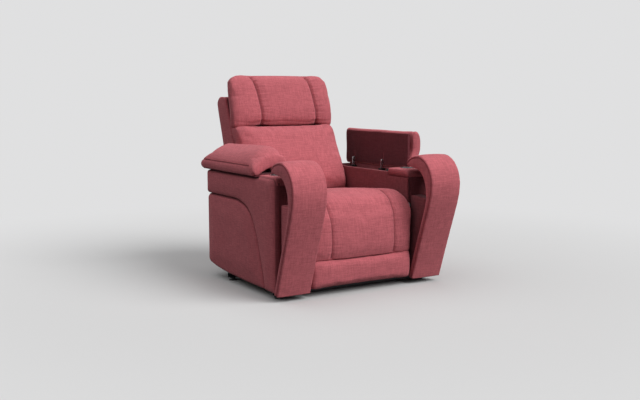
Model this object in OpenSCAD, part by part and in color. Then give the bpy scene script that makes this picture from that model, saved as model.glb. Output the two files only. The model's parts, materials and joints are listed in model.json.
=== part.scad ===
// Power cinema recliner seat with padded arms, cup holders and lift-up arm lids.
// Sizes are millimetres. +X is to the viewer's right, +Y to the back, +Z up.
// Inside the modules Y starts at the foot of the front scrolls and X at the middle of
// the seat; the last module moves the whole chair so that its box is centred.

/* [Overall] */
// Width over both arms
chair_w = 950; // [850:5:1050]
// Height of the top of the headrest
chair_h = 1036; // [1020:2:1060]
// Gap between the floor and the upholstery
floor_gap = 28; // [24:1:36]
// Fullness of every cushion, as a share of its drawn crown
puff_share = 1; // [0.5:0.1:1.4]

/* [Arms] */
// Width of one arm
arm_w = 182; // [165:1:200]
// Front face of the arm box, back from the scroll's foot
arm_front = 40; // [36:1:46]
// Rear face of the arm box
arm_rear = 768; // [740:2:800]
// Height of the rim under the lids
rim_h = 552; // [545:1:556]
// Rise of the cup holder deck above the rim
deck_rise = 19; // [14:1:24]
// Depth of the cup holder deck's padding
deck_pad = 38; // [30:1:44]
// Rear end of the cup holder deck
deck_rear = 204; // [198:1:208]
// How far the scrolls and lids stand out from the arm's side
side_proud = 9; // [4:1:12]
// Thickness of the outer side padding
side_pad = 30; // [24:1:34]
// Thickness of the inner side padding
inner_pad = 12; // [8:1:16]
// Thickness of the plywood boards
board_t = 14; // [10:1:18]
// Height of the rear bottom corner of the side
tuck_h = 80; // [70:2:110]
// Width of the sewn groove in the side
groove_w = 5; // [3:0.5:8]

/* [Scroll fronts] */
// Width of a scroll
scroll_w = 178; // [165:1:190]
// Reach of the scroll ahead of its foot
scroll_reach = 147; // [120:1:160]
// Height of the scroll's ridge
scroll_h = 647; // [635:1:660]
// Thickness of the scroll's padding at the hook
scroll_pad = 60; // [50:1:66]
// Inset of the panel behind the scroll
filler_inset = 14; // [8:1:20]
// Height of the panel behind the scroll
filler_h = 446; // [400:2:470]

/* [Lids] */
// Gap between the rim and a closed lid
lid_lift = 10; // [8:1:14]
// Height of the lid's sewn edge above its underside
lid_edge = 49; // [40:1:54]
// Full height of the lid's crown above its underside
lid_crown = 118; // [90:1:124]
// Rear overhang of the lid past the arm
lid_over = 26; // [10:1:32]
// Thickness of the lid's board
lid_board_t = 12; // [9:1:14]
// Hinge pin, in from the lid's outer edge
lid_pin_in = 21; // [18:1:26]
// Hinge pin, above the lid's underside
lid_pin_up = 26; // [24:1:28]
// Opening angle of the lids
lid_open = 90; // [80:1:90]

/* [Cup holders] */
// Radius of the cup's bore
cup_r = 38; // [35:0.5:40]
// Depth of the cup
cup_depth = 78; // [60:1:90]
// Width of the cup's flange
cup_flange = 8; // [5:0.5:9]
// Sheet thickness of the cup
cup_t = 1.2; // [0.8:0.1:2]
// Centre of the cup, back from the scroll's foot
cup_y = 142; // [138:1:146]

/* [Seat] */
// Height of the seat's crest
seat_h = 478; // [470:1:490]
// Drop of the seat's webbing below the footrest's hinge pins
seat_sink = 20; // [18:1:23]
// Rear end of the seat cushion
seat_rear = 560; // [540:1:566]
// Gap between the seat and an arm
seat_gap = 6; // [5:0.5:9]
// Travel of the seat towards the front
glide_travel = 80; // [40:5:90]

/* [Footrest] */
// Height of the footrest's hinge pins
rest_pin_h = 400; // [396:1:404]
// Height of the seam between the two footrest pads
rest_seam_h = 171; // [150:1:190]
// Underside of the footrest
rest_low = 40; // [36:1:50]
// Thickness of the footrest board
rest_board_t = 16; // [12:1:20]
// Thickness of the link bars
bar_t = 4; // [3:0.5:5]
// Width of the link bars
bar_w = 24; // [18:1:28]

/* [Back] */
// Height of the back cushion's top
back_top_h = 760; // [750:1:764]
// Height of the recline pins
back_pin_h = 345; // [335:1:352]
// Recline pins, back from the scroll's foot
back_pin_y = 600; // [590:1:606]
// Height of the top of the outside back
shell_top_h = 927; // [900:1:940]
// Reach of the outside back behind the recline pins
shell_reach = 381; // [360:1:400]
// Height of the lower edge of the outside back
shell_low_h = 205; // [200:1:240]
// Thickness of the outside back's board
shell_t = 16; // [12:1:20]
// Height of the headrest's lower edge
head_low_h = 770; // [768:1:776]

/* [Base] */
// Height of the floor glides
glide_h = 14; // [10:1:18]
// Radius of a floor glide
glide_r = 22; // [16:1:28]
// Height of the steel base tubes
tube_h = 24; // [20:1:24]
// Width of the steel base tubes
tube_w = 25; // [20:1:30]

/* [Control buttons] */
// Radius of a button
button_r = 7; // [6:0.25:8]
// How far a button stands out
button_out = 3; // [2:0.25:3.5]
// Travel of a button
button_travel = 1.5; // [1:0.1:1.8]

/* [Hidden] */

$fn = 48;
// Overrun that lets a cut pass through a face
over = 1;
// Gap between pieces that slide or turn past each other
run_gap = 0.5;
// Radial clearance of a pin in its bore
pin_gap = 0.05;
// Gap between soft pieces that rest side by side, and where one is sewn to the next
soft_gap = 2;
seam_gap = 0.4;

half_w = chair_w / 2;
shell_rear = back_pin_y + shell_reach;
seat_w = chair_w - 2 * arm_w;
arm_in = seat_w / 2;
arm_out = half_w - side_proud;
frame_in = arm_in + inner_pad;
frame_out = arm_out - side_pad;
frame_front = arm_front + inner_pad;
frame_rear = arm_rear - board_t;
frame_low = glide_h + tube_h;
deck_h = rim_h + deck_rise;
deck_low = deck_h - deck_pad;
frame_top = deck_low - run_gap;
lid_base_h = rim_h + lid_lift;

// Where the rear underside of the arm starts to rise
tuck_start = 600;
// Height of the side's lower edge where it starts to rise
tuck_low = 45;
// Height of the groove at the rear of the arm
groove_h = 434;

// Hinge axis of the right lid, across and up
lid_pin_x = half_w - lid_pin_in;
lid_pin_z = lid_base_h + lid_pin_up;
lid_front = deck_rear + side_proud / 3;
lid_rear = arm_rear + lid_over;
lid_in = arm_in + soft_gap;
// Hinge stations along the arm
hinge_front_y = 435;
hinge_rear_y = 707;
hinge_ys = [hinge_front_y, hinge_rear_y];
// Radius of a lid hinge pin
lid_pin_r = 3;
// Thickness of a lid hinge arm
hinge_t = 6;
// Width of a lid hinge arm
hinge_w = 12;
// Reach of the hinge arm in towards the bin
hinge_reach = 34;
// Side room of the hinge pocket in the lid
pocket_gap = 3;
// Where a hinge arm turns down to its block
arm_turn_x = lid_pin_x - hinge_reach;

// Rear reach of an open lid's crown decides where the middle of the box is
open_reach = lid_pin_x + lid_crown - lid_pin_up;
x_shift = (half_w - open_reach) / 2;
y_shift = (scroll_reach - shell_rear) / 2;

// Footrest hinge pin, back from the scroll's foot
rest_pin_y = 16;
rest_pin = [rest_pin_y, rest_pin_h];
// Crank pin behind and below the footrest's hinge pin
crank_back = 158;
crank_drop = 40;
crank_pin = rest_pin + [crank_back, -crank_drop];
// Coupler pin, back from the footrest's hinge pin, and its height with the footrest down
coupler_back = 64;
coupler_pin_h = 130;
coupler_offset = [coupler_back, coupler_pin_h - rest_pin_h];
coupler_pin = rest_pin + coupler_offset;
elbow_pin = crank_pin + coupler_offset;
back_pin = [back_pin_y, back_pin_h];
// Headrest hinge pin, back from the scroll's foot and below the headrest
head_pin_y = 776;
head_pin_drop = 12;
head_pin = [head_pin_y, head_low_h - head_pin_drop];
// Radii of the link pins, the recline pins and the headrest pins
link_pin_r = 5;
back_pin_r = 7;
head_pin_r = 4;
// Top of the seat frame's webbing
seat_deck_h = rest_pin_h - seat_sink;
// Rear of the footrest pads, where the board starts
rest_back = 42;
// Room between an arm and the footrest's or the seat's cushions
cushion_gap = 15;
cushion_half = arm_in - cushion_gap;
// Thickness of the seat's side plates
plate_t = 3;
plate_out = arm_in - seat_gap;
bracket_out = plate_out - plate_t - run_gap * 2;
crank_out = bracket_out - bar_t - run_gap * 2;
coupler_out = crank_out - bar_t - run_gap * 2;

function unit(v) = v / norm(v);
function mid(a, b) = (a + b) / 2;
function arc(c, r, a0, a1, n) = [for (i = [0:n]) let (a = a0 + (a1 - a0) * i / n) c + r * [cos(a), sin(a)]];
function scaled(shares, size) = [for (s = shares) [s[0] * size[0], s[1] * size[1]]];
function mirrored(t) = concat([for (i = [len(t) - 1:-1:1]) [-t[i][0], t[i][1]]], t);

// Most of a form's thickness that one side may draw in
draw_share = 0.45;
// A padded form: a front and a back curve in Y and Z, carried across the chair.
// Each station is a place in X and how far the form draws in there.
function draw_in(a, b, d) = a + min(d, norm(b - a) * draw_share) * unit(b - a);
function end_in(c, i, d) = let (n = len(c) - 1)
    i == 0 ? c[0] + d * unit(c[1] - c[0]) : i == n ? c[n] + d * unit(c[n - 1] - c[n]) : c[i];
function pad_ring(front, back, x, d, back_share) = let (n = len(front) - 1, e = max(d, 0) / 2)
    concat([for (i = [0:n]) let (p = draw_in(end_in(front, i, e), end_in(back, i, e), d)) [x, p[0], p[1]]],
           [for (i = [n:-1:0]) let (p = draw_in(end_in(back, i, e), end_in(front, i, e), d * back_share))
                [x, p[0], p[1]]]);
module padded(front, back, stations, back_share = 1) {
    n = len(front);
    m = 2 * n;
    k = len(stations);
    points = [for (s = stations) each pad_ring(front, back, s[0], s[1], back_share)];
    skin = [for (j = [0:k - 2], i = [0:m - 1]) let (a = j * m + i, b = j * m + (i + 1) % m)
        each [[a, b, b + m], [a, b + m, a + m]]];
    low_end = [for (i = [0:n - 2]) each [[i, m - 1 - i, i + 1], [i + 1, m - 1 - i, m - 2 - i]]];
    high_end = [for (f = low_end) [for (v = f) v + (k - 1) * m]];
    flipped = [for (f = high_end) [f[0], f[2], f[1]]];
    polyhedron(points, concat(skin, low_end, flipped));
}
function stations(shares, half, edge) = [for (s = mirrored(shares))
    [s[0] * half, s[1] * edge * (s[1] < 0 ? puff_share : 1)]];

// A plate in the Y and Z plane, given thickness across the chair
module across(x0, x1) translate([x0, 0, 0]) rotate([90, 0, 90]) linear_extrude(x1 - x0) children();
module box(low, high) translate(low) cube(high - low);
module rod_x(at, r, x0, x1) translate([x0, at[0], at[1]]) rotate([0, 90, 0]) cylinder(r = r, h = x1 - x0);
module rod_y(at, r, y0, y1) translate([at[0], y0, at[1]]) rotate([-90, 0, 0]) cylinder(r = r, h = y1 - y0);
module both() {
    children();
    mirror([1, 0, 0]) children();
}
module left() mirror([1, 0, 0]) children();
module link_2d(a, b, w) {
    translate(a) circle(w / 2);
    translate(b) circle(w / 2);
    polygon([a + side(a, b, w), b + side(a, b, w), b - side(a, b, w), a - side(a, b, w)]);
}
function side(a, b, w) = let (u = unit(b - a)) [-u[1], u[0]] * (w / 2 - run_gap);

fabric = "#a8515c";
fabric_dark = "#7c3640";
steel = "#8f9296";
black = "#26262a";
wood = "#c9a878";

// Base

module base_cross_tubes() color(black) for (y = [cross_front, cross_rear])
    difference() {
        box([-frame_out, y, glide_h], [frame_out, y + tube_w, frame_low]);
        box([-frame_out - over, y + tube_wall, glide_h + tube_wall],
            [frame_out + over, y + tube_w - tube_wall, frame_low - tube_wall]);
    }
// Front faces of the two cross tubes
cross_front = 84;
cross_rear = 560;
// Wall of the steel tubes
tube_wall = 2;

module base_rails() color(black) both() difference() {
    box([rail_in, cross_front + tube_w, glide_h], [plate_out, cross_rear, frame_low]);
    box([rail_in + tube_wall, cross_front + tube_w - over, glide_h + tube_wall],
        [plate_out - tube_wall, cross_rear + over, frame_low - tube_wall]);
}
rail_in = plate_out - tube_w;

module floor_glides() color(black) both() for (y = [cross_front, cross_rear])
    translate([frame_out - glide_r - tube_wall, y + tube_w / 2, 0]) {
        cylinder(r = glide_r, h = glide_h / 2);
        cylinder(r = tube_w / 2 - tube_wall, h = glide_h);
    }

// Radius and depth of the low-voltage power socket
socket_r = 2.8;
socket_deep = 10;
// Size of the inlet's case and its place across the chair
inlet_w = 34;
inlet_deep = 22;
inlet_h = 22;
inlet_x = 150;
inlet_rear = cross_rear + tube_w + inlet_deep;
module power_inlet() color(black) difference() {
    box([inlet_x - inlet_w / 2, cross_rear + tube_w, frame_low - inlet_h],
        [inlet_x + inlet_w / 2, inlet_rear, frame_low]);
    rod_y([inlet_x, frame_low - inlet_h / 2], socket_r, inlet_rear - socket_deep, inlet_rear + over);
}

// Arms

// The groove that parts the front band of the side from its rear panel
groove_shares = [[1, 1], [0.613, 1], [0.52, 0.985], [0.435, 0.941], [0.39, 0.892], [0.35, 0.818],
    [0.318, 0.72], [0.289, 0.618], [0.26, 0.47], [0.232, 0.322], [0.208, 0.18], [0.188, 0.03]];
groove_line = scaled(groove_shares, [arm_rear, groove_h]);
function shifted(line, d) = [for (p = line) p + d];

module side_outline_2d() polygon([[arm_front, floor_gap], [tuck_start, tuck_low], [arm_rear, tuck_h],
    [arm_rear, rim_h], [deck_rear, rim_h], [deck_rear, deck_low], [arm_front, deck_low]]);
module rear_panel_2d() polygon(concat(groove_line, [[groove_line[11][0], 0], [arm_rear + groove_w, 0],
    [arm_rear + groove_w, groove_h]]));

module arm_side_band() color(fabric_dark) {
    across(frame_out, arm_out) difference() {
        side_outline_2d();
        translate([-groove_w / 2, groove_w / 2]) rear_panel_2d();
    }
    box([frame_in, arm_front, floor_gap], [frame_out, frame_front, deck_low]);
}
module arm_band_left() left() arm_side_band();
module arm_band_right() arm_side_band();

module arm_side_pad() color(fabric_dark) {
    across(frame_out, arm_out - side_pad / 3) intersection() {
        side_outline_2d();
        translate([groove_w / 2, -groove_w / 2]) rear_panel_2d();
    }
    across(arm_out - side_pad / 3, arm_out - side_pad / 8) intersection() {
        translate([-side_pad / 4, side_pad / 4]) side_outline_2d();
        translate([side_pad / 3, -side_pad / 3]) rear_panel_2d();
    }
}
module arm_side_pad_left() left() arm_side_pad();
module arm_side_pad_right() arm_side_pad();

// Height of the inner side's lower edge
inner_low = 60;
module arm_inner_pad(with_controls) color(fabric_dark) difference() {
    across(arm_in, frame_in) polygon([[arm_front, inner_low], [arm_rear, inner_low + tuck_h / 2],
        [arm_rear, rim_h], [deck_rear, rim_h], [deck_rear, deck_low], [arm_front, deck_low]]);
    if (with_controls) box([arm_in - over, panel_y - run_gap, panel_z - run_gap],
        [frame_in + over, panel_y + panel_w + run_gap, panel_z + panel_h + run_gap]);
}
module arm_inner_pad_left() left() arm_inner_pad(true);
module arm_inner_pad_right() arm_inner_pad(false);

module arm_rear_pad() color(fabric_dark)
    box([frame_in, frame_rear, tuck_h], [frame_out, arm_rear, rim_h]);
module arm_rear_pad_left() left() arm_rear_pad();
module arm_rear_pad_right() arm_rear_pad();

// Width of the rail that carries the lid's hinges
hinge_rail_w = 18;
// Front board behind the cup holder, which closes the bin's space
bulkhead_gap = 4;
bulkhead_y = deck_rear + bulkhead_gap;
module arm_frame() color(wood) {
    box([frame_in, frame_front, frame_low], [frame_in + board_t, frame_rear, frame_top]);
    across(frame_out - board_t, frame_out) polygon([[frame_front, frame_low], [tuck_start, frame_low + board_t],
        [frame_rear, tuck_h], [frame_rear, frame_top], [frame_front, frame_top]]);
    box([frame_in, frame_front, frame_low], [frame_out, frame_front + board_t, frame_top]);
    box([frame_in, frame_rear - board_t, tuck_h], [frame_out, frame_rear, frame_top]);
    box([frame_in, frame_front, frame_low], [frame_out - board_t, cross_rear + tube_w, frame_low + board_t]);
    box([frame_in, bulkhead_y, frame_low], [frame_out, bulkhead_y + board_t, frame_top]);
    box([frame_out - board_t - hinge_rail_w, bulkhead_y, frame_top - hinge_rail_w * 2],
        [frame_out - board_t, frame_rear, frame_top]);
}
module arm_frame_left() left() difference() {
    arm_frame();
    box([frame_in - over, panel_y, panel_z],
        [frame_in + board_t + over, panel_y + panel_w, panel_z + panel_h]);
}
module arm_frame_right() arm_frame();

cup_x = mid(arm_in, arm_out);
module arm_deck() color(fabric) difference() {
    union() {
        across(arm_in, arm_out) polygon(concat([[deck_rear, deck_low]],
            arc([deck_rear - deck_edge, deck_h - deck_edge], deck_edge, 0, 90, 4),
            arc([arm_front + deck_nose, deck_h - deck_nose], deck_nose, 90, 180, 6),
            [[arm_front, deck_low]]));
    }
    translate([cup_x, cup_y, 0]) cylinder(r = cup_r + cup_t + run_gap, h = deck_h + over);
}
// Radius of the deck's rear edge and of its front edge
deck_edge = 8;
deck_nose = 26;
module arm_deck_left() left() arm_deck();
module arm_deck_right() arm_deck();

// Radius of the rolled edge at the cup's mouth
cup_roll = 2;
module cup_holder() color("silver") translate([cup_x, cup_y, deck_h]) rotate_extrude($fn = 96)
    polygon(concat([[0, -cup_depth], [cup_r - cup_roll * 3, -cup_depth]],
        arc([cup_r + cup_t - cup_roll * 3, -cup_depth + cup_roll * 3], cup_roll * 3, -90, 0, 5),
        [[cup_r + cup_t, 0], [cup_r + cup_flange, 0], [cup_r + cup_flange, cup_t],
         [cup_r + cup_flange / 2, cup_roll], [cup_r, cup_roll], [cup_r, -cup_depth + cup_roll * 3]],
        arc([cup_r - cup_roll * 3, -cup_depth + cup_t + cup_roll * 3], cup_roll * 3, 0, -90, 5),
        [[0, -cup_depth + cup_t]]));
module cup_holder_left() left() cup_holder();
module cup_holder_right() cup_holder();

// The scroll's outer curve as shares of its reach and height, and its thickness as a share
scroll_shares = [[0.435, 0.934, 0.42], [0.28, 0.969, 0.8], [0.04, 0.992, 1], [-0.24, 1, 1.1],
    [-0.51, 0.982, 1.15], [-0.75, 0.94, 1.15], [-0.92, 0.88, 1.1], [-1, 0.811, 1], [-0.993, 0.742, 0.85],
    [-0.925, 0.665, 0.66], [-0.78, 0.564, 0.56], [-0.59, 0.44, 0.55], [-0.34, 0.275, 0.55], [-0.05, 0.077, 0.55]];
scroll_front = concat(scaled(scroll_shares, [scroll_reach, scroll_h]), [[0, floor_gap]]);
function turned(v) = [v[1], -v[0]];
function bend(c, i) = unit(c[min(i + 1, len(c) - 1)] - c[max(i - 1, 0)]);
function scroll_thick(i) = scroll_shares[min(i, len(scroll_shares) - 1)][2] * scroll_pad;
scroll_foot = len(scroll_front) - 1;
scroll_back = [for (i = [0:scroll_foot]) let (p = scroll_front[i] - turned(bend(scroll_front, i)) * scroll_thick(i))
    i == scroll_foot ? [p[0], floor_gap] : p];
scroll_station_shares = [[0, 0], [0.5, 0.06], [0.84, 0.12], [0.95, 0.24], [1, 0.5]];
module scroll() color(fabric) translate([half_w - scroll_w / 2, 0, 0])
    padded(scroll_front, scroll_back, stations(scroll_station_shares, scroll_w / 2, scroll_edge));
// Rounding of the scroll's side edges
scroll_edge = 14;
module scroll_left() left() scroll();
module scroll_right() scroll();

module scroll_filler() color(fabric_dark)
    across(half_w - scroll_w + filler_inset, arm_out - filler_inset) polygon(concat(
        [[arm_front, floor_gap]], [[scroll_back[scroll_foot][0] + seam_gap, floor_gap]],
        [for (i = [scroll_foot - 1:-1:10]) scroll_back[i] + [seam_gap, 0]],
        [[scroll_back[9][0] + filler_gap, filler_h - filler_gap]],
        arc([arm_front - filler_round, filler_h - filler_round], filler_round, 90, 0, 5)));
// Room between the filler's top corner and the scroll
filler_gap = 12;
filler_round = 20;
module scroll_filler_left() left() scroll_filler();
module scroll_filler_right() scroll_filler();

// Storage bins

bin_wall = 3;
bin_low = 320;
bin_in = frame_in + board_t + run_gap * 2;
bin_out = frame_out - board_t - hinge_rail_w - run_gap * 2;
bin_front = bulkhead_y + board_t + run_gap * 2;
bin_rear = frame_rear - board_t - run_gap * 2;
bin_top = frame_top + bin_wall;
module storage_bin() color(black) difference() {
    union() {
        box([bin_in, bin_front, bin_low], [bin_out, bin_rear, bin_top]);
        box([frame_in, bulkhead_y, frame_top], [arm_turn_x - hinge_w - run_gap, frame_rear, bin_top]);
    }
    box([bin_in + bin_wall, bin_front + bin_wall, bin_low + bin_wall],
        [bin_out - bin_wall, bin_rear - bin_wall, bin_top + over]);
}
module storage_bin_left() left() storage_bin();
module storage_bin_right() storage_bin();

// Lids and their hinges

module lid_hinge_blocks() color(black) both() for (y = hinge_ys) {
    box([arm_turn_x - hinge_w, y - hinge_w, frame_top], [frame_out, y + hinge_w, frame_top + block_h]);
}
// Height of the hinge's fixed block above the frame
block_h = 13;
module lid_hinge_arms() color(steel) both() for (y = hinge_ys) {
    translate([0, y + hinge_t / 2, 0]) rotate([90, 0, 0]) linear_extrude(hinge_t) {
        translate([lid_pin_x, lid_pin_z]) circle(hinge_w / 2);
        polygon([[arm_turn_x + hinge_w / 2, lid_pin_z + hinge_w / 2], [lid_pin_x, lid_pin_z + hinge_w / 2],
            [lid_pin_x, lid_pin_z - hinge_w / 2], [arm_turn_x + hinge_w / 2, lid_pin_z - hinge_w / 2]]);
        translate([arm_turn_x + hinge_w / 2, lid_pin_z - hinge_w / 2]) intersection() {
            circle(hinge_w);
            translate([-hinge_w, 0]) square(hinge_w);
        }
        translate([arm_turn_x - hinge_w / 2, frame_top + block_h])
            square([hinge_w, lid_pin_z - hinge_w / 2 - frame_top - block_h]);
    }
    rod_y([lid_pin_x, lid_pin_z], lid_pin_r, y - hinge_w, y + hinge_w);
}
// Radius of a lid's bumper and its places along the arm
bumper_r = 6;
bumper_front_y = 234;
bumper_rear_y = 720;
bumper_ys = [bumper_front_y, bumper_rear_y];
module lid_bumpers() color(black) both() for (y = bumper_ys)
    translate([frame_in + board_t / 2, y, bin_top])
        cylinder(r = bumper_r, h = lid_base_h - run_gap - bin_top);

module hinge_pockets() for (y = hinge_ys) {
    box([arm_turn_x - hinge_w / 2 - pocket_gap, y - hinge_t / 2 - pocket_gap, lid_base_h - over],
        [lid_pin_x + hinge_w / 2 + pocket_gap, y + hinge_t / 2 + pocket_gap, lid_pin_z + hinge_w / 2 + pocket_gap]);
    rod_y([lid_pin_x, lid_pin_z], lid_pin_r + pin_gap, y - hinge_w - run_gap, y + hinge_w + run_gap);
}
module lid_board() color(black) difference() {
    box([lid_in + side_proud, lid_front + side_proud, lid_base_h],
        [half_w - side_proud / 2, lid_rear - side_proud, lid_base_h + lid_board_t]);
    hinge_pockets();
}
function rounded_ring(x0, x1, y0, y1, r, z) = [for (q = [[x1, y1, 0], [x0, y1, 90], [x0, y0, 180], [x1, y0, 270]])
    let (c = [q[0] == x1 ? x1 - r : x0 + r, q[1] == y1 ? y1 - r : y0 + r])
    each [for (i = [0:4]) let (a = q[2] + i * 22.5) [c[0] + r * cos(a), c[1] + r * sin(a), z]]];
// The lid's rings: how far each draws in at the sides, at the front, and its height,
// as shares of half the lid's width and of the crown
lid_ring_shares = [[0.05, 0.05, 0.102], [0, 0, 0.25], [0, 0, 0.42], [0.07, 0.1, 0.53], [0.22, 0.42, 0.72],
    [0.4, 0.9, 0.87], [0.62, 1.35, 0.96], [0.82, 1.8, 1]];
lid_corner = 24;
module lid_pad() color(fabric) difference() {
    half = (half_w - lid_in) / 2;
    rings = [for (s = lid_ring_shares) let (d = s[0] * half, f = s[1] * half)
        rounded_ring(lid_in + d, half_w - d, lid_front + f, lid_rear - (d + f) / 2,
            lid_corner * (1 - s[0]), lid_base_h + s[2] * lid_crown)];
    n = len(rings[0]);
    k = len(rings);
    skin = [for (j = [0:k - 2], i = [0:n - 1]) let (a = j * n + i, b = j * n + (i + 1) % n)
        each [[a, b + n, b], [a, a + n, b + n]]];
    low_end = [for (i = [1:n - 2]) [0, i, i + 1]];
    high_end = [for (i = [1:n - 2]) [0, i + 1, i] + [for (v = [0:2]) (k - 1) * n]];
    polyhedron([for (r = rings) each r], concat(skin, low_end, high_end));
    hinge_pockets();
}
module lid_turned() translate([lid_pin_x, 0, lid_pin_z]) rotate([0, lid_open, 0])
    translate([-lid_pin_x, 0, -lid_pin_z]) children();
module lid_board_left() left() lid_board();
module lid_board_right() lid_turned() lid_board();
module lid_pad_left() left() lid_pad();
module lid_pad_right() lid_turned() lid_pad();

// Control panel on the inner side of the sitter's right arm

panel_w = 124;
panel_h = 34;
panel_y = 64;
panel_drop = 62;
panel_z = rim_h - panel_drop;
panel_lip = 3;
panel_deep = 14;
button_place_shares = [0.125, 0.375, 0.625, 0.875];
button_ys = [for (s = button_place_shares) panel_y + panel_w * s];
button_z = panel_z + panel_h / 2;
button_gap = 0.4;
module control_panel() color(black) left() difference() {
    union() {
        box([arm_in, panel_y, panel_z],
            [arm_in + panel_deep, panel_y + panel_w, panel_z + panel_h]);
        box([arm_in - panel_lip, panel_y - panel_lip, panel_z - panel_lip],
            [arm_in, panel_y + panel_w + panel_lip, panel_z + panel_h + panel_lip]);
    }
    for (y = button_ys)
        rod_x([y, button_z], button_r + button_gap, arm_in - panel_lip - over, arm_in + panel_deep - panel_lip);
}
module button(i) color("dimgray") left() {
    rod_x([button_ys[i], button_z], button_r, arm_in - panel_lip - button_out,
        arm_in + panel_deep - panel_lip - button_travel - button_gap);
}
module button_recline() button(0);
module button_upright() button(1);
module button_head_up() button(2);
module button_head_down() button(3);

// Seat

// Height of the top and the lower edge of the side plate's rail
plate_top = seat_deck_h;
plate_low = 344;
// Height of the glide runners
runner_h = 26;
leg_low = frame_low + runner_h / 2;
// Front and rear of the side plate's leg
leg_front = 262;
leg_rear = 548;
leg_taper = 30;
lug_r = 13;
back_lug_r = 24;
module seat_side_plates() color(steel) both() across(plate_out - plate_t, plate_out) difference() {
    union() {
        translate(rest_pin) circle(lug_r);
        polygon([rest_pin + [lug_r, 0], [rest_back, plate_top], [rest_back + lug_r * 2, plate_top],
            [rest_back + lug_r * 2, plate_low], rest_pin - [0, lug_r], rest_pin - [lug_r, 0]]);
        translate([rest_back + lug_r, plate_low]) square([back_pin_y - rest_back - lug_r, plate_top - plate_low]);
        translate(back_pin) circle(back_lug_r);
        polygon([[leg_front, plate_low + over], [leg_rear, plate_low + over], [leg_rear - leg_taper, leg_low],
            [leg_front + leg_taper, leg_low]]);
    }
    translate(rest_pin) circle(link_pin_r + pin_gap);
    translate(crank_pin) circle(crank_tube_r + pin_gap);
    translate(back_pin) circle(back_pin_r + pin_gap);
}
// Radius of the crank's cross tube
crank_tube_r = 11;

// Number of webbing straps and the width and thickness of one
strap_count = 6;
strap_w = 50;
strap_t = 3;
// Cross tubes of the seat frame: their radius, their heights and their places, back from
// the scroll's foot
seat_tube_r = 12;
seat_tube_h = seat_deck_h - strap_t - seat_tube_r;
rail_tube_h = 200;
seat_front_y = 76;
rail_front_y = 318;
rail_rear_y = 512;
seat_rear_y = 560;
seat_tubes = [[seat_front_y, seat_tube_h], [rail_front_y, rail_tube_h], [rail_rear_y, rail_tube_h],
    [seat_rear_y, seat_tube_h]];
module seat_cross_tubes() color(steel) for (t = seat_tubes) difference() {
    rod_x(t, seat_tube_r, -plate_out + plate_t, plate_out - plate_t);
    rod_x(t, seat_tube_r - tube_wall, -plate_out, plate_out);
}

module seat_webbing() color(black) for (i = [0:strap_count - 1]) {
    x = (i - (strap_count - 1) / 2) * (2 * plate_out - strap_w) / strap_count;
    box([x - strap_w / 2, seat_front_y, seat_deck_h - strap_t], [x + strap_w / 2, seat_rear_y, seat_deck_h]);
}

seat_floor = seat_deck_h + run_gap;
seat_top_shares = [[1, 0.908], [0.86, 0.935], [0.68, 0.958], [0.5, 0.975], [0.34, 0.99], [0.21, 1], [0.135, 0.996],
    [0.085, 0.972], [0.045, 0.93], [0.024, 0.88], [0.029, 0.843]];
seat_top = scaled(seat_top_shares, [seat_rear, seat_h]);
seat_nose_shares = [[0.084, 0.806], [0.084, 0.826], [0.087, 0.843]];
seat_under = concat([for (i = [0:len(seat_top) - 1 - len(seat_nose_shares)]) [seat_top[i][0], seat_floor]],
    scaled(seat_nose_shares, [seat_rear, seat_h]));
seat_station_shares = [[0, -0.12], [0.3, -0.1], [0.5, -0.06], [0.63, 0], [0.66, 0.09], [0.69, 0], [0.78, -0.02],
    [0.88, 0.08], [0.95, 0.28], [1, 0.62]];
seat_edge = 60;
module seat_cushion() color(fabric)
    padded(seat_top, seat_under, stations(seat_station_shares, cushion_half, seat_edge), 0);

module seat_runners() color(black) both()
    box([rail_in + tube_wall, leg_front + leg_taper, frame_low + run_gap],
        [plate_out - plate_t, leg_rear - leg_taper, frame_low + runner_h]);

// Actuators: a motor, its gear case and a rail that lies on the seat's cross tubes
rail_w = 40;
rail_t = 22;
// Radius of the gear case and of the motor
motor_r = 22;
motor_body_r = 17;
motor_h = 90;
block_w = 56;
block_deep = 44;
actuator_x = 90;
rail_floor = rail_tube_h + seat_tube_r;
module actuator(x, y0, y1, gear_y) color(black) {
    box([x - rail_w / 2, y0, rail_floor], [x + rail_w / 2, y1, rail_floor + rail_t]);
    box([x - rail_w / 2, gear_y, rail_floor], [x + rail_w / 2, gear_y + rail_w, rail_floor + motor_r * 2]);
    rod_x([gear_y + rail_w / 2, rail_floor + motor_r], motor_body_r, x + rail_w / 2, x + motor_h);
}
actuator_front = 190;
actuator_rear = 530;
module footrest_actuator() actuator(-actuator_x - motor_h / 2, actuator_front, actuator_rear, actuator_rear - rail_w);
module recline_actuator() actuator(actuator_x, actuator_front + motor_r * 3, actuator_rear, actuator_front + motor_r * 3);
module drive_block(x, y) color(steel) difference() {
    box([x - block_w / 2, y, rail_floor + run_gap],
        [x + block_w / 2, y + block_deep, rail_floor + block_deep]);
    box([x - rail_w / 2 - run_gap, y - over, rail_floor - over],
        [x + rail_w / 2 + run_gap, y + block_deep + over, rail_floor + rail_t + run_gap]);
}
// Travel of the two drive blocks along their rails
footrest_block_travel = 120;
recline_block_travel = 110;
footrest_block_y = actuator_front + soft_gap + footrest_block_travel;
recline_block_y = actuator_rear - block_deep - soft_gap - recline_block_travel;
module footrest_drive_block() drive_block(-actuator_x - motor_h / 2, footrest_block_y);
module recline_drive_block() drive_block(actuator_x, recline_block_y);

// Thickness and radii of the heads of the hinge pins
pin_head = 2;
link_head_r = 8;
back_head_r = 11;
module pivot_pins() color("silver") both() {
    rod_x(rest_pin, link_pin_r, bracket_out - bar_t - run_gap, plate_out + run_gap);
    rod_x(rest_pin, link_head_r, plate_out, plate_out + pin_head);
    rod_x(back_pin, back_pin_r, ear_in - run_gap, plate_out + run_gap);
    rod_x(back_pin, back_head_r, plate_out, plate_out + pin_head);
}

// Footrest

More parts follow.
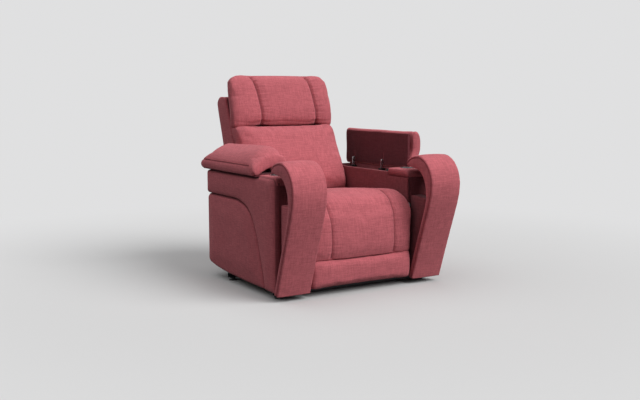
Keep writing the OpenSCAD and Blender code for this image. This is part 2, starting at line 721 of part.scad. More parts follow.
// Room between the footrest's hinge pins and the top of its board
board_drop = 28;
module footrest_board() color(wood)
    box([-cushion_half, rest_back, rest_low], [cushion_half, rest_back + rest_board_t, rest_pin_h - board_drop]);

// Depth of the bracket behind the board
bracket_w = 40;
module footrest_brackets() color(steel) both() across(bracket_out - bar_t, bracket_out) difference() {
    union() {
        translate(rest_pin) circle(lug_r);
        polygon([rest_pin + [lug_r, 0], [rest_back + rest_board_t, rest_pin_h - board_drop],
            [rest_back + rest_board_t, rest_pin_h - lug_r * 4], rest_pin - [lug_r, 0]]);
        translate([rest_back, coupler_pin[1] - bracket_w])
            square([rest_board_t + soft_gap, rest_pin_h - coupler_pin[1] + bracket_w - board_drop]);
        translate(coupler_pin) circle(bar_w / 2);
        translate([rest_back, coupler_pin[1] - bar_w / 2]) square([coupler_pin[0] - rest_back, bar_w]);
    }
    translate(rest_pin) circle(link_pin_r + pin_gap);
    translate(coupler_pin) circle(link_pin_r + run_gap);
}

chaise_shares = [[0.34, 0.978], [0.06, 0.935], [-0.08, 0.86], [-0.2, 0.74], [-0.22, 0.62], [-0.16, 0.5], [-0.02, 0.435]];
chaise_front = [for (s = chaise_shares) [s[0] * rest_back, s[1] * rest_pin_h]];
chaise_back = [for (p = chaise_front) [rest_back, p[1]]];
chaise_edge = 40;
chaise_station_shares = [[0, -0.1], [0.3, -0.08], [0.59, -0.02], [0.63, 0.02], [0.66, 0.1], [0.69, 0.02], [0.82, 0],
    [0.92, 0.16], [1, 0.6]];
module chaise_pad() color(fabric)
    padded(chaise_front, chaise_back, stations(chaise_station_shares, cushion_half, chaise_edge), 0);

lower_shares = [[0.05, 0.975], [-0.2, 0.86], [-0.24, 0.6], [-0.18, 0.36], [0.1, 0.24]];
lower_front = [for (s = lower_shares) [s[0] * rest_back, s[1] * rest_seam_h]];
lower_back = [for (p = lower_front) [rest_back, p[1]]];
lower_station_shares = [[0, -0.05], [0.6, -0.03], [0.9, 0.05], [0.97, 0.2], [1, 0.5]];
module footrest_lower_pad() color(fabric)
    padded(lower_front, lower_back, stations(lower_station_shares, cushion_half, chaise_edge), 0);

module crank_links() color(steel) {
    both() across(crank_out - bar_t, crank_out) link_2d(crank_pin, elbow_pin, bar_w);
    both() rod_x(elbow_pin, link_pin_r, coupler_out - bar_t - run_gap, crank_out - over);
    rod_x(crank_pin, crank_tube_r, -plate_out + run_gap, plate_out - run_gap);
}
// Radius of the spacer between a coupler and its bracket
spacer_r = 9;
module coupler_links() color(steel) both() {
    across(coupler_out - bar_t, coupler_out) difference() {
        link_2d(coupler_pin, elbow_pin, bar_w);
        translate(elbow_pin) circle(link_pin_r + pin_gap);
    }
    rod_x(coupler_pin, spacer_r, coupler_out - over, bracket_out - bar_t - run_gap);
    rod_x(coupler_pin, link_pin_r, coupler_out + over, bracket_out + run_gap);
}

// Back

// The outline of the outside back as [y, z]: its depth at the top, the rounding of its top
// corner, its bow in the middle, its foot at the rear and the lower end of its wings
shell_top_deep = 99;
shell_corner_y = 20;
shell_corner_z = 14;
shell_bow_in = 53;
shell_bow_h = 657;
shell_foot_in = 128;
shell_wing_y = 692;
shell_wing_h = 380;
shell_wing_deep = 156;
shell_wing_slope = 20;
shell_wing = [shell_wing_y, shell_wing_h];
shell_wing_rear = shell_wing + [shell_wing_deep, -shell_wing_slope];
shell_front_top = [shell_rear - shell_top_deep, shell_top_h];
shell_rear_top = [shell_rear, shell_top_h - shell_corner_z];
shell_rear_mid = [shell_rear - shell_bow_in, shell_bow_h];
shell_rear_low = [shell_rear - shell_foot_in, shell_low_h];
// Room between an arm and the outside back
shell_gap = 6;
shell_half = arm_in - shell_gap;
// How far the hollow runs out past the wings
cut_front = 20;
cut_low = 60;
module back_shell() color(fabric_dark) difference() {
    across(-shell_half, shell_half) polygon([shell_wing, shell_front_top,
        [shell_rear - shell_corner_y, shell_top_h], shell_rear_top, shell_rear_mid, shell_rear_low,
        shell_rear_low - [shell_t, 0], shell_wing_rear]);
    across(-shell_half + shell_t, shell_half - shell_t) polygon([shell_wing - [cut_front, cut_low],
        shell_front_top - [shell_corner_y, shell_t], shell_rear_top - [shell_t, shell_t],
        shell_rear_mid - [shell_t, 0], shell_rear_low - [shell_t, cut_low]]);
}

// The back cushion's front and rear outlines, as shares of its pins' depth and its top's height
back_face_shares = [[0.938, 0.59], [0.926, 0.606], [0.922, 0.633], [0.938, 0.68], [0.975, 0.75], [1.02, 0.82],
    [1.07, 0.89], [1.125, 0.955], [1.165, 0.986], [1.205, 1]];
back_rear_shares = [[1.032, 0.535], [1.044, 0.56], [1.064, 0.6], [1.093, 0.66], [1.13, 0.735], [1.166, 0.81],
    [1.203, 0.885], [1.232, 0.945], [1.243, 0.965], [1.248, 0.978]];
back_rear = scaled(back_rear_shares, [back_pin_y, back_top_h]);
// The side members run behind the cushion and its webbing, up to the top rail
back_tube_r = 11;
rest_gap = 1.8;
rail_over = 16;
frame_run = unit(back_rear[7] - back_rear[0]);
frame_set = turned(frame_run) * (back_tube_r + strap_t + rest_gap);
frame_foot = back_rear[0] + frame_set;
frame_head = back_rear[7] + frame_set + frame_run * rail_over;
// Half the width of a side ear where it meets its tube, and its rise above the lower tube
ear_half = 20;
ear_rise = 30;
ear_in = plate_out - plate_t - run_gap - bar_t;
// Length of the tabs that hold the outside back, and their places along the side members
shell_tab = 88;
shell_tab_shares = [0.1, 0.8];
module back_frame() color(steel) {
    both() across(ear_in, ear_in + bar_t) difference() {
        union() {
            translate(back_pin) circle(back_lug_r - soft_gap);
            polygon([back_pin + [-back_lug_r / 2, back_lug_r / 2], frame_foot - [back_tube_r, back_tube_r],
                frame_foot + frame_run * ear_rise, frame_foot + [ear_half, ear_rise],
                back_pin + [back_lug_r - soft_gap, 0]]);
        }
        translate(back_pin) circle(back_pin_r + pin_gap);
    }
    both() translate([back_tube_x, frame_foot[0], frame_foot[1]]) rotate([-frame_lean, 0, 0])
        cylinder(r = back_tube_r, h = norm(frame_head - frame_foot));
    rod_x(frame_foot, back_tube_r, -ear_in - over, ear_in + over);
    rod_x(frame_head, back_tube_r, -back_tube_x - back_tube_r + over, back_tube_x + back_tube_r - over);
    both() across(shell_half - shell_t - bar_t, shell_half - shell_t) for (s = shell_tab_shares)
        translate(frame_foot + (frame_head - frame_foot) * s) square([shell_tab, ear_rise]);
    both() across(head_lug_x, head_lug_x + bar_t) difference() {
        union() {
            translate(head_pin) circle(head_lug_r);
            polygon([head_pin + [-head_lug_r / 2, -head_lug_r], head_pin + [head_lug_r, head_lug_r / 2],
                frame_head + [back_tube_r, 0], frame_head - [back_tube_r, 0]]);
        }
        translate(head_pin) circle(head_pin_r);
    }
    both() rod_x(head_pin, head_pin_r, head_lug_x, head_lug_x + bar_t * 2 + run_gap * 3);
}
frame_lean = atan2(frame_head[0] - frame_foot[0], frame_head[1] - frame_foot[1]);
back_tube_x = ear_in - back_tube_r - over;
head_lug_x = 180;
head_lug_r = 9;

// Places of the straps along the side members
strap_shares = [0.13, 0.31, 0.5, 0.69, 0.87];
module back_webbing() color(black) for (s = strap_shares) {
    p = frame_foot + (frame_head - frame_foot) * s;
    translate([0, p[0], p[1]]) rotate([-frame_lean, 0, 0])
        box([-back_tube_x, -back_tube_r - strap_t, -strap_w / 2], [back_tube_x, -back_tube_r, strap_w / 2]);
}

back_half = shell_half - soft_gap;
back_edge = 46;
back_station_shares = [[0, -0.14], [0.35, -0.12], [0.65, -0.06], [0.82, 0.02], [0.91, 0.16], [0.97, 0.42], [1, 0.8]];
module back_cushion() color(fabric)
    padded(scaled(back_face_shares, [back_pin_y, back_top_h]), back_rear,
        stations(back_station_shares, back_half, back_edge), 0.15);

// The headrest's motor hangs below the back frame's top rail
head_motor_w = 120;
head_motor_deep = 40;
head_motor_h = 60;
head_motor_r = 15;
module headrest_motor() color(black) {
    box([-head_motor_w / 2, frame_head[0] + back_tube_r, frame_head[1] - head_motor_h],
        [head_motor_w / 2, frame_head[0] + back_tube_r + head_motor_deep, frame_head[1]]);
    rod_x([frame_head[0] + back_tube_r + head_motor_deep / 2, frame_head[1] - head_motor_h / 2],
        head_motor_r, head_motor_w / 2, head_motor_w / 2 + motor_h);
}

// Half the width of the headrest
head_half = 299;
// Depth that the headrest's shares are taken of
head_rear = 880;
head_rise = chair_h - head_low_h;
head_front_shares = [[0.863, 0], [0.851, 0.04], [0.85, 0.14], [0.855, 0.3], [0.867, 0.45], [0.883, 0.6], [0.902, 0.76],
    [0.922, 0.88], [0.94, 0.955], [0.958, 0.992]];
head_back_shares = [[0.925, 0], [0.93, 0.04], [0.937, 0.14], [0.947, 0.3], [0.957, 0.45], [0.967, 0.6], [0.977, 0.76],
    [0.985, 0.86], [0.988, 0.92], [0.984, 0.97]];
head_edge = 40;
head_station_shares = [[0, -0.16], [0.3, -0.15], [0.47, -0.07], [0.53, 0.04], [0.57, 0.2], [0.61, 0.04], [0.68, -0.06],
    [0.8, -0.07], [0.9, 0.06], [0.96, 0.3], [1, 0.8]];
function head_place(s) = [s[0] * head_rear, head_low_h + s[1] * head_rise];
module headrest_pad() color(fabric) difference() {
    padded([for (s = head_front_shares) head_place(s)], [for (s = head_back_shares) head_place(s)],
        stations(head_station_shares, head_half, head_edge), 0.3);
    across(-head_board_half - run_gap, head_board_half + run_gap) polygon([
        head_board_low - [run_gap, 0] - head_slope, head_board_high + [-run_gap, run_gap],
        head_board_high + [head_board_t + run_gap, run_gap], head_board_low + [head_board_t + run_gap, 0] - head_slope]);
}
// The board inside the headrest
head_board_half = 260;
head_board_t = 12;
// Lower end of the board, its lean over its height and its height as a share of the headrest's
head_board_y = 800;
head_board_lean = 38;
head_board_share = 0.7744;
head_board_low = [head_board_y, head_low_h];
head_board_high = [head_board_y + head_board_lean, head_low_h + head_rise * head_board_share];
// Overrun of the board's slot, along the board
head_slope = unit(head_board_high - head_board_low) * soft_gap * 2;
module headrest_frame() color(steel) {
    across(-head_board_half, head_board_half) polygon([head_board_low, head_board_high,
        head_board_high + [head_board_t, 0], head_board_low + [head_board_t, 0]]);
    both() across(head_lug_x + bar_t + run_gap, head_lug_x + bar_t * 2 + run_gap) difference() {
        union() {
            translate(head_pin) circle(head_lug_r);
            polygon([head_pin + [0, -head_lug_r], head_board_low + [head_board_t, -over],
                head_board_low + [head_board_t, over], head_board_low + [over, over],
                head_board_low + [0, -over], head_pin + [0, head_lug_r]]);
        }
        translate(head_pin) circle(head_pin_r + pin_gap);
    }
}

module chair() translate([x_shift, y_shift, 0]) children();
chair() base_rails();
chair() base_cross_tubes();
chair() floor_glides();
chair() power_inlet();
chair() arm_frame_left();
chair() arm_frame_right();
chair() arm_band_left();
chair() arm_band_right();
chair() arm_side_pad_left();
chair() arm_side_pad_right();
chair() arm_inner_pad_left();
chair() arm_inner_pad_right();
chair() arm_rear_pad_left();
chair() arm_rear_pad_right();
chair() arm_deck_left();
chair() arm_deck_right();
chair() cup_holder_left();
chair() cup_holder_right();
chair() scroll_left();
chair() scroll_right();
chair() scroll_filler_left();
chair() scroll_filler_right();
chair() storage_bin_left();
chair() storage_bin_right();
chair() lid_hinge_blocks();
chair() lid_hinge_arms();
chair() lid_bumpers();
chair() lid_board_left();
chair() lid_board_right();
chair() lid_pad_left();
chair() lid_pad_right();
chair() control_panel();
chair() button_recline();
chair() button_upright();
chair() button_head_up();
chair() button_head_down();
chair() seat_side_plates();
chair() seat_cross_tubes();
chair() seat_webbing();
chair() seat_cushion();
chair() seat_runners();
chair() footrest_actuator();
chair() recline_actuator();
chair() footrest_drive_block();
chair() recline_drive_block();
chair() pivot_pins();
chair() footrest_board();
chair() footrest_brackets();
chair() chaise_pad();
chair() footrest_lower_pad();
chair() crank_links();
chair() coupler_links();
chair() back_frame();
chair() back_webbing();
chair() back_cushion();
chair() back_shell();
chair() headrest_motor();
chair() headrest_frame();
chair() headrest_pad();
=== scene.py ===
"""Looks of the cinema recliner: upholstery, welts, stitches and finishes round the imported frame."""
import json
import logging
import math
from dataclasses import dataclass, field
from enum import Enum
from functools import partialmethod
from typing import Callable, Iterable, Sequence

import bmesh
import bpy
import numpy as np
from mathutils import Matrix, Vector
from mathutils.geometry import delaunay_2d_cdt


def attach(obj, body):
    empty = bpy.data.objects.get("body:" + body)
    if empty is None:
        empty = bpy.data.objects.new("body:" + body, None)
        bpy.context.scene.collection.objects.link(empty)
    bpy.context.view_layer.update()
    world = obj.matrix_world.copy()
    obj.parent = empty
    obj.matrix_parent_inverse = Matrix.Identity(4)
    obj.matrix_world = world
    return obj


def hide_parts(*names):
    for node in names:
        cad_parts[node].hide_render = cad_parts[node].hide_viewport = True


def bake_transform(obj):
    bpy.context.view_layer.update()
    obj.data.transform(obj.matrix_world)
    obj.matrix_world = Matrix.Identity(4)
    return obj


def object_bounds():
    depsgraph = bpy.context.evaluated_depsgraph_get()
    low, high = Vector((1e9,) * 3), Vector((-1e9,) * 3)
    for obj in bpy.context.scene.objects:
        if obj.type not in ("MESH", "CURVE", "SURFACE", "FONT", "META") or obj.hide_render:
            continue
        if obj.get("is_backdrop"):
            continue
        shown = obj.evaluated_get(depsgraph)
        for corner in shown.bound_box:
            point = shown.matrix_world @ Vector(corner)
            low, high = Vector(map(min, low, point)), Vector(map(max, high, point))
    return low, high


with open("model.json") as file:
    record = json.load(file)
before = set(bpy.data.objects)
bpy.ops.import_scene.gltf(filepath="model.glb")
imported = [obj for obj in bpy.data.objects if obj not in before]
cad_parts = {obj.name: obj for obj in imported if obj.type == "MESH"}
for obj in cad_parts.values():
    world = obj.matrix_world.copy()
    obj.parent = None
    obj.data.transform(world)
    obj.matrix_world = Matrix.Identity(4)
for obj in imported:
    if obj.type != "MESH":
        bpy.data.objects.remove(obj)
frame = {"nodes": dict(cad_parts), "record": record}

LOG = logging.getLogger("recliner")

MM = 0.001
# The drawing's zero lies at the seat's middle and the scrolls' foot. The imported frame's does not.
SHIFT = np.array([-35.5, -417.0, 0.0])

# Distances from the chair's middle to the faces of the arm's padding and of its plywood box.
ARM_IN, ARM_OUT = 293.0, 466.0
FRAME_IN, FRAME_OUT = 305.0, 436.0
# The arm's two ends, its foot and rim, and the deck with the cup holder's middle and hole.
ARM_FRONT, ARM_REAR = 40.0, 768.0
FLOOR_GAP, RIM_H = 28.0, 552.0
DECK_H, DECK_LOW, DECK_REAR = 571.0, 533.0, 204.0
CUP_X, CUP_Y, CUP_RADIUS = 379.5, 142.0, 40.2
# The lid's outline, its underside, the height of its boxed edge, and its pin's x and z.
LID_IN, LID_OUT, LID_FRONT, LID_REAR, LID_LOW = 292.0, 483.0, 207.0, 804.0, 562.0
LID_EDGE = 49.0
LID_PIN = (454.0, 588.0)
# The footrest's pin, the seat's crest, the back's pin and top, and the headrest's box.
PIN_H, SEAT_H = 400.0, 478.0
BACK_PIN_Y, BACK_TOP = 600.0, 760.0
HEAD_HALF, HEAD_REAR, HEAD_LOW, HEAD_TOP = 299.0, 880.0, 770.0, 1036.0
HEAD_RISE = HEAD_TOP - HEAD_LOW

# Samples between two given places of a curve.
SPAN_STEPS = 24
# Share of a sewn line's depth in its sharp part, and the half width of the shade painted along it as a share
# of that.
SHARP_SHARE, THREAD_SHARE = 0.55, 0.62


def row(points: np.ndarray) -> np.ndarray:
    """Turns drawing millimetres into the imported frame's metres.

    Args:
        points: one point or an array of points.
    Returns:
        The same points in metres.
    """
    return (np.asarray(points, float) + SHIFT) * MM


def smooth(t: np.ndarray, low: float, high: float) -> np.ndarray:
    """Returns a smooth step from 0 at low to 1 at high."""
    s = np.clip((np.asarray(t, float) - low) / (high - low), 0.0, 1.0)
    return s * s * (3 - 2 * s)


def lengths(line: np.ndarray) -> np.ndarray:
    """Returns the way along a line to each of its points."""
    return np.concatenate([[0], np.cumsum(np.linalg.norm(np.diff(line, axis=0), axis=1))])


def sampled(at: np.ndarray, run: np.ndarray, line: np.ndarray) -> np.ndarray:
    """Returns a line's values at places along it, where run is the way to each point."""
    return np.stack([np.interp(at, run, column) for column in line.T], axis=1)


def looped(line: np.ndarray) -> np.ndarray:
    """Returns a line with its first point once more at the end."""
    return np.vstack([line, line[:1]])


def spline(points: Sequence, count: int) -> np.ndarray:
    """Runs a Catmull-Rom curve through points.

    Args:
        points: places, each with any number of values.
        count: how many samples to return, evenly spread along the curve's length.
    Returns:
        An array of samples.
    """
    p = np.asarray(points, float)
    ends = np.vstack([2 * p[0] - p[1], p, 2 * p[-1] - p[-2]])
    t = np.linspace(0, 1, SPAN_STEPS, endpoint=False)[:, None]
    fine = []
    for i in range(len(p) - 1):
        a, b, c, d = ends[i:i + 4]
        square, cube = 2 * a - 5 * b + 4 * c - d, 3 * b - a - 3 * c + d
        fine.append(0.5 * (2 * b + (c - a) * t + square * t**2 + cube * t**3))
    line = np.vstack(fine + [p[-1:]])
    run = lengths(line)
    return sampled(np.linspace(0, run[-1], count), run, line)


def polyline_distance(points: np.ndarray, line: np.ndarray) -> np.ndarray:
    """Returns each point's distance to a polyline in the same plane.

    Args:
        points: points in the plane.
        line: the polyline's points. A closed one ends where it starts.
    Returns:
        One distance for each point.
    """
    best = np.full(len(points), np.inf)
    for a, b in zip(line[:-1], line[1:]):
        ab = b - a
        t = np.clip(((points - a) @ ab) / max(ab @ ab, 1e-9), 0, 1)
        best = np.minimum(best, np.linalg.norm(points - a - t[:, None] * ab, axis=1))
    return best


# Shader maths


class Socket:
    """An output socket with the usual operators, each of which adds one node."""

    def __init__(self, tree: "Tree", out: bpy.types.NodeSocket) -> None:
        """Wraps an output of one of the tree's nodes."""
        self.tree = tree
        self.out = out

    def _maths(self, kind: str, other: "Socket | float", flip: bool = False) -> "Socket":
        """Applies a maths operation with another value, which comes first if flip is set.

        Args:
            kind: the operation.
            other: the other value.
            flip: whether the other value comes first.
        Returns:
            The result's socket.
        """
        pair = (other, self) if flip else (self, other)
        return self.tree.node("ShaderNodeMath", dict(enumerate(pair)), operation=kind)

    __add__, __radd__ = partialmethod(_maths, "ADD"), partialmethod(_maths, "ADD", flip=True)
    __sub__, __rsub__ = partialmethod(_maths, "SUBTRACT"), partialmethod(_maths, "SUBTRACT", flip=True)
    __mul__, __rmul__ = partialmethod(_maths, "MULTIPLY"), partialmethod(_maths, "MULTIPLY", flip=True)
    __truediv__, __pow__ = partialmethod(_maths, "DIVIDE"), partialmethod(_maths, "POWER")
    above = partialmethod(_maths, "GREATER_THAN")

    def one(self, kind: str) -> "Socket":
        """Applies a maths operation that takes one value."""
        return self.tree.node("ShaderNodeMath", {0: self}, operation=kind)

    def ramp(self, low: float, high: float, out_low: float = 0.0, out_high: float = 1.0) -> "Socket":
        """Maps low..high smoothly to out_low..out_high, clamped."""
        return self.tree.node("ShaderNodeMapRange", {0: self, 1: low, 2: high, 3: out_low, 4: out_high},
                              interpolation_type="SMOOTHSTEP")


class Tree:
    """A material's node tree, with one method that makes every node."""

    def __init__(self, owner: bpy.types.Material | bpy.types.World) -> None:
        """Takes a material's or a world's tree and empties it."""
        owner.use_nodes = True
        self.tree = owner.node_tree
        self.tree.nodes.clear()

    def node(self, kind: str, inputs: dict | None = None, output: int | str = 0, **settings) -> Socket:
        """Makes a node, sets or links its inputs and returns one of its outputs.

        Args:
            kind: the node's type name.
            inputs: values or sockets by input name or number.
            output: which output to return.
            settings: the node's own properties.
        Returns:
            The wrapped output socket.
        """
        made = self.tree.nodes.new(kind)
        for key, value in settings.items():
            setattr(made, key, value)
        for key, value in (inputs or {}).items():
            if isinstance(value, Socket):
                self.tree.links.new(value.out, made.inputs[key])
            else:
                made.inputs[key].default_value = value
        return Socket(self, made.outputs[output] if len(made.outputs) else None)

    def parts(self, vector: Socket) -> list[Socket]:
        """Returns the three parts of a vector."""
        split = self.node("ShaderNodeSeparateXYZ", {0: vector}).out.node
        return [Socket(self, out) for out in split.outputs]

    def mix(self, share: Socket | float, a: Socket | Sequence, b: Socket | Sequence) -> Socket:
        """Mixes two colours, of which the share is the second one's."""
        return self.node("ShaderNodeMix", {0: share, 6: a, 7: b}, output=2, data_type="RGBA")

    def place(self) -> Socket:
        """Returns the piece's own coordinates in metres."""
        return self.node("ShaderNodeTexCoord", output="Object")

    def noise(self, vector: Socket, scale: float, detail: float = 2.0, rough: float = 0.5) -> Socket:
        """Returns a noise value between 0 and 1."""
        settings = {"Vector": vector, "Scale": scale, "Detail": detail, "Roughness": rough}
        return self.node("ShaderNodeTexNoise", settings)

    def stretch(self, vector: Socket, scale: Sequence[float]) -> Socket:
        """Scales coordinates by three factors."""
        return self.node("ShaderNodeMapping", {"Vector": vector, "Scale": tuple(scale)})

    def bump(self, height: Socket, metres: float, strength: float, under: Socket | None = None) -> Socket:
        """Turns a height into a normal, on top of another normal if one is given."""
        inputs = {"Height": height, "Distance": metres, "Strength": strength}
        return self.node("ShaderNodeBump", inputs if under is None else {**inputs, "Normal": under})

    def surface(self, inputs: dict) -> None:
        """Joins a principled shader with these inputs to the output."""
        shader = self.node("ShaderNodeBsdfPrincipled", inputs)
        self.node("ShaderNodeOutputMaterial", {"Surface": shader})


class Kind(Enum):
    """The families of finish on the chair."""

    FABRIC = "fabric"
    STEEL = "steel"
    BLACK = "black"
    WOOD = "wood"
    WEB = "web"
    RUBBER = "rubber"


@dataclass(frozen=True)
class Finish:
    """One finish: its colour and the numbers that its shader takes.

    Attributes:
        dark: how much of the cloth's colour the shade painted along seams, tucks and hidden faces covers.
    """

    name: str
    kind: Kind
    colour: tuple[float, float, float]
    roughness: float = 0.6
    metallic: float = 0.0
    dark: float = 0.55

    # Pitch of the cloth's and of the webbing's weave, in metres.
    CLOTH_PITCH, WEB_PITCH = 0.0021, 0.0035
    # Noise scale of a thread's slubs along the thread and across it.
    SLUB_LONG, SLUB_FINE = 24.0, 300.0
    # Colour of the shade painted along seams, tucks, shadowed trims and hidden faces.
    SEAM_SHADE = (0.045, 0.008, 0.012, 1)
    SHEEN = {"Sheen Weight": 0.1, "Sheen Roughness": 0.5, "Sheen Tint": (1.0, 0.8, 0.83, 1),
             "Specular IOR Level": 0.12}

    def build(self) -> bpy.types.Material:
        """Makes the procedural material."""
        material = bpy.data.materials.new(self.name)
        maker = {Kind.FABRIC: self._fabric, Kind.STEEL: self._steel, Kind.BLACK: self._black,
                 Kind.WOOD: self._wood, Kind.WEB: self._web, Kind.RUBBER: self._black}[self.kind]
        maker(Tree(material))
        material.diffuse_color = (*self.colour, 1)
        return material

    def _rgba(self, gain: float = 1.0) -> tuple[float, ...]:
        """Returns the colour, made brighter or darker."""
        return (*[min(c * gain, 1.0) for c in self.colour], 1.0)

    def _slubs(self, fine: int) -> list[float]:
        """Returns the scales of a thread's slubs, which change fast along one axis."""
        return [self.SLUB_FINE if axis == fine else self.SLUB_LONG for axis in range(3)]

    def _weave(self, u: Socket, v: Socket, pitch: float) -> tuple[Socket, Socket]:
        """Returns a plain weave's height and which set of threads lies on top."""
        turn = math.pi / pitch
        warp = (u * turn).one("SINE").one("ABSOLUTE")
        weft = (v * turn).one("SINE").one("ABSOLUTE")
        check = ((u * turn).one("SINE") * (v * turn).one("SINE")).above(0.0)
        return warp * check + weft * (1.0 - check), check

    def _fabric(self, tree: Tree) -> None:
        """Woven cloth with slubs, faded clouds, soft wrinkles, and shade painted into the weave's hollows and
        along seams, tucks and hidden faces.
        """
        place = tree.place()
        axes = tree.parts(place)
        facing = tree.parts(tree.node("ShaderNodeNewGeometry", output="Normal"))
        lean = [part.one("ABSOLUTE") ** 3.0 for part in facing]
        total = lean[0] + lean[1] + lean[2] + 0.001
        tops, slubs = [], []
        for k, (a, b) in enumerate(((1, 2), (0, 2), (0, 1))):
            share = lean[k] / total
            height, check = self._weave(axes[a], axes[b], self.CLOTH_PITCH)
            warp, weft = (tree.noise(tree.stretch(place, self._slubs(fine)), 1.0, 1.0) for fine in (b, a))
            tops.append(height * share)
            slubs.append((warp * check + weft * (1.0 - check)) * share)
        height = tops[0] + tops[1] + tops[2]
        slub = slubs[0] + slubs[1] + slubs[2]
        cloud, fuzz = tree.noise(place, 9.0, 3.0), tree.noise(place, 900.0, 2.0)
        # This attribute's value at each point is shade painted into the cloth along seams, tucks, shadowed
        # trims and hidden faces.
        seam = tree.node("ShaderNodeAttribute", attribute_name="seam", output="Fac")
        colour = tree.mix(slub.ramp(0.33, 0.67), self._rgba(0.82), self._rgba(1.17))
        colour = tree.mix(cloud.ramp(0.35, 0.65, 0.0, 0.12), colour, self._rgba(0.8))
        # Darker where the weave lies low: painted shade between the threads.
        colour = tree.mix(height.ramp(0.1, 0.6, 0.3, 0.0), colour, self._rgba(0.45))
        colour = tree.mix(seam.ramp(0.15, 1.0, 0.0, self.dark), colour, self.SEAM_SHADE)
        wrinkle = tree.noise(tree.stretch(place, (1.0, 1.0, 1.6)), 16.0, 2.0, 0.4)
        soft = tree.bump(wrinkle, 0.004, 0.35)
        normal = tree.bump(height * 0.8 + fuzz * 0.5 + slub * 0.6, 0.0006, 0.55, soft)
        tree.surface({"Base Color": colour, "Roughness": slub.ramp(0.3, 0.7, 0.93, 0.8), "Normal": normal,
                      **self.SHEEN})

    def _steel(self, tree: Tree) -> None:
        """Brushed steel with worn places."""
        place = tree.place()
        grain = tree.noise(tree.stretch(place, (60.0, 60.0, 2600.0)), 1.0, 2.0)
        wear = tree.noise(place, 40.0, 3.0)
        colour = tree.mix(grain.ramp(0.3, 0.7), self._rgba(0.86), self._rgba(1.08))
        rough = grain.ramp(0.3, 0.7, self.roughness - 0.08, self.roughness + 0.08)
        tree.surface({"Base Color": colour, "Roughness": rough + wear.ramp(0.5, 0.8, 0.0, 0.06),
                      "Metallic": self.metallic, "Normal": tree.bump(grain, 0.0001, 0.4)})

    def _black(self, tree: Tree) -> None:
        """Black paint, plastic or rubber with a little dust."""
        place = tree.place()
        grain, dust = tree.noise(place, 1400.0, 2.0), tree.noise(place, 14.0, 4.0)
        colour = tree.mix(dust.ramp(0.45, 0.75, 0.0, 0.35), self._rgba(), self._rgba(1.9))
        rough = dust.ramp(0.3, 0.8, self.roughness, self.roughness + 0.15)
        tree.surface({"Base Color": colour, "Metallic": self.metallic, "Roughness": rough,
                      "Normal": tree.bump(grain, 0.0002, 0.5)})

    def _wood(self, tree: Tree) -> None:
        """Plywood with its layers and grain."""
        place = tree.place()
        ply = tree.noise(tree.stretch(place, (6.0, 6.0, 300.0)), 1.0, 3.0)
        grain = tree.noise(tree.stretch(place, (30.0, 5.0, 30.0)), 6.0, 4.0)
        colour = tree.mix(grain.ramp(0.3, 0.7), self._rgba(0.72), self._rgba(1.1))
        colour = tree.mix(ply.ramp(0.45, 0.6, 0.0, 0.35), colour, self._rgba(0.5))
        tree.surface({"Base Color": colour, "Roughness": grain.ramp(0.3, 0.7, 0.7, 0.5),
                      "Normal": tree.bump(grain, 0.0004, 0.4)})

    def _web(self, tree: Tree) -> None:
        """Coarse woven webbing."""
        x, y, z = tree.parts(tree.place())
        height, check = self._weave(x, y + z, self.WEB_PITCH)
        colour = tree.mix(check * 0.6, self._rgba(0.7), self._rgba(1.8))
        tree.surface({"Base Color": colour, "Roughness": height.ramp(0.0, 1.0, 0.95, 0.7),
                      "Normal": tree.bump(height, 0.0008, 0.7)})


@dataclass
class Palette:
    """Every finish of the chair, built once."""

    finishes: dict[str, Finish] = field(default_factory=lambda: {f.name: f for f in (
        Finish("rose_fabric", Kind.FABRIC, (0.475, 0.118, 0.137)),
        # The rose cloth painted darker as shade, for panels that lie in shadow.
        Finish("inner_fabric", Kind.FABRIC, (0.235, 0.055, 0.065)),
        Finish("lining", Kind.FABRIC, (0.13, 0.026, 0.034), dark=0.7),
        # The rose cloth painted darker for the scroll's welts: painted shade along them.
        Finish("welt_fabric", Kind.FABRIC, (0.30, 0.055, 0.07), dark=0.3),
        Finish("webbing", Kind.WEB, (0.03, 0.03, 0.034)),
        Finish("plywood", Kind.WOOD, (0.2, 0.12, 0.075)),
        Finish("black_steel", Kind.BLACK, (0.012, 0.012, 0.014), 0.42, 0.4),
        Finish("bright_steel", Kind.STEEL, (0.55, 0.56, 0.58), 0.3, 1.0),
        Finish("stainless", Kind.STEEL, (0.66, 0.66, 0.67), 0.22, 1.0),
        Finish("black_plastic", Kind.BLACK, (0.012, 0.012, 0.013), 0.5),
        Finish("button_plastic", Kind.BLACK, (0.06, 0.06, 0.066), 0.45),
        Finish("rubber", Kind.RUBBER, (0.012, 0.012, 0.012), 0.75))})
    built: dict[str, bpy.types.Material] = field(default_factory=dict)

    def __getitem__(self, name: str) -> bpy.types.Material:
        """Returns the material of a finish, made at its first use."""
        if name not in self.built:
            self.built[name] = self.finishes[name].build()
        return self.built[name]


# Meshes


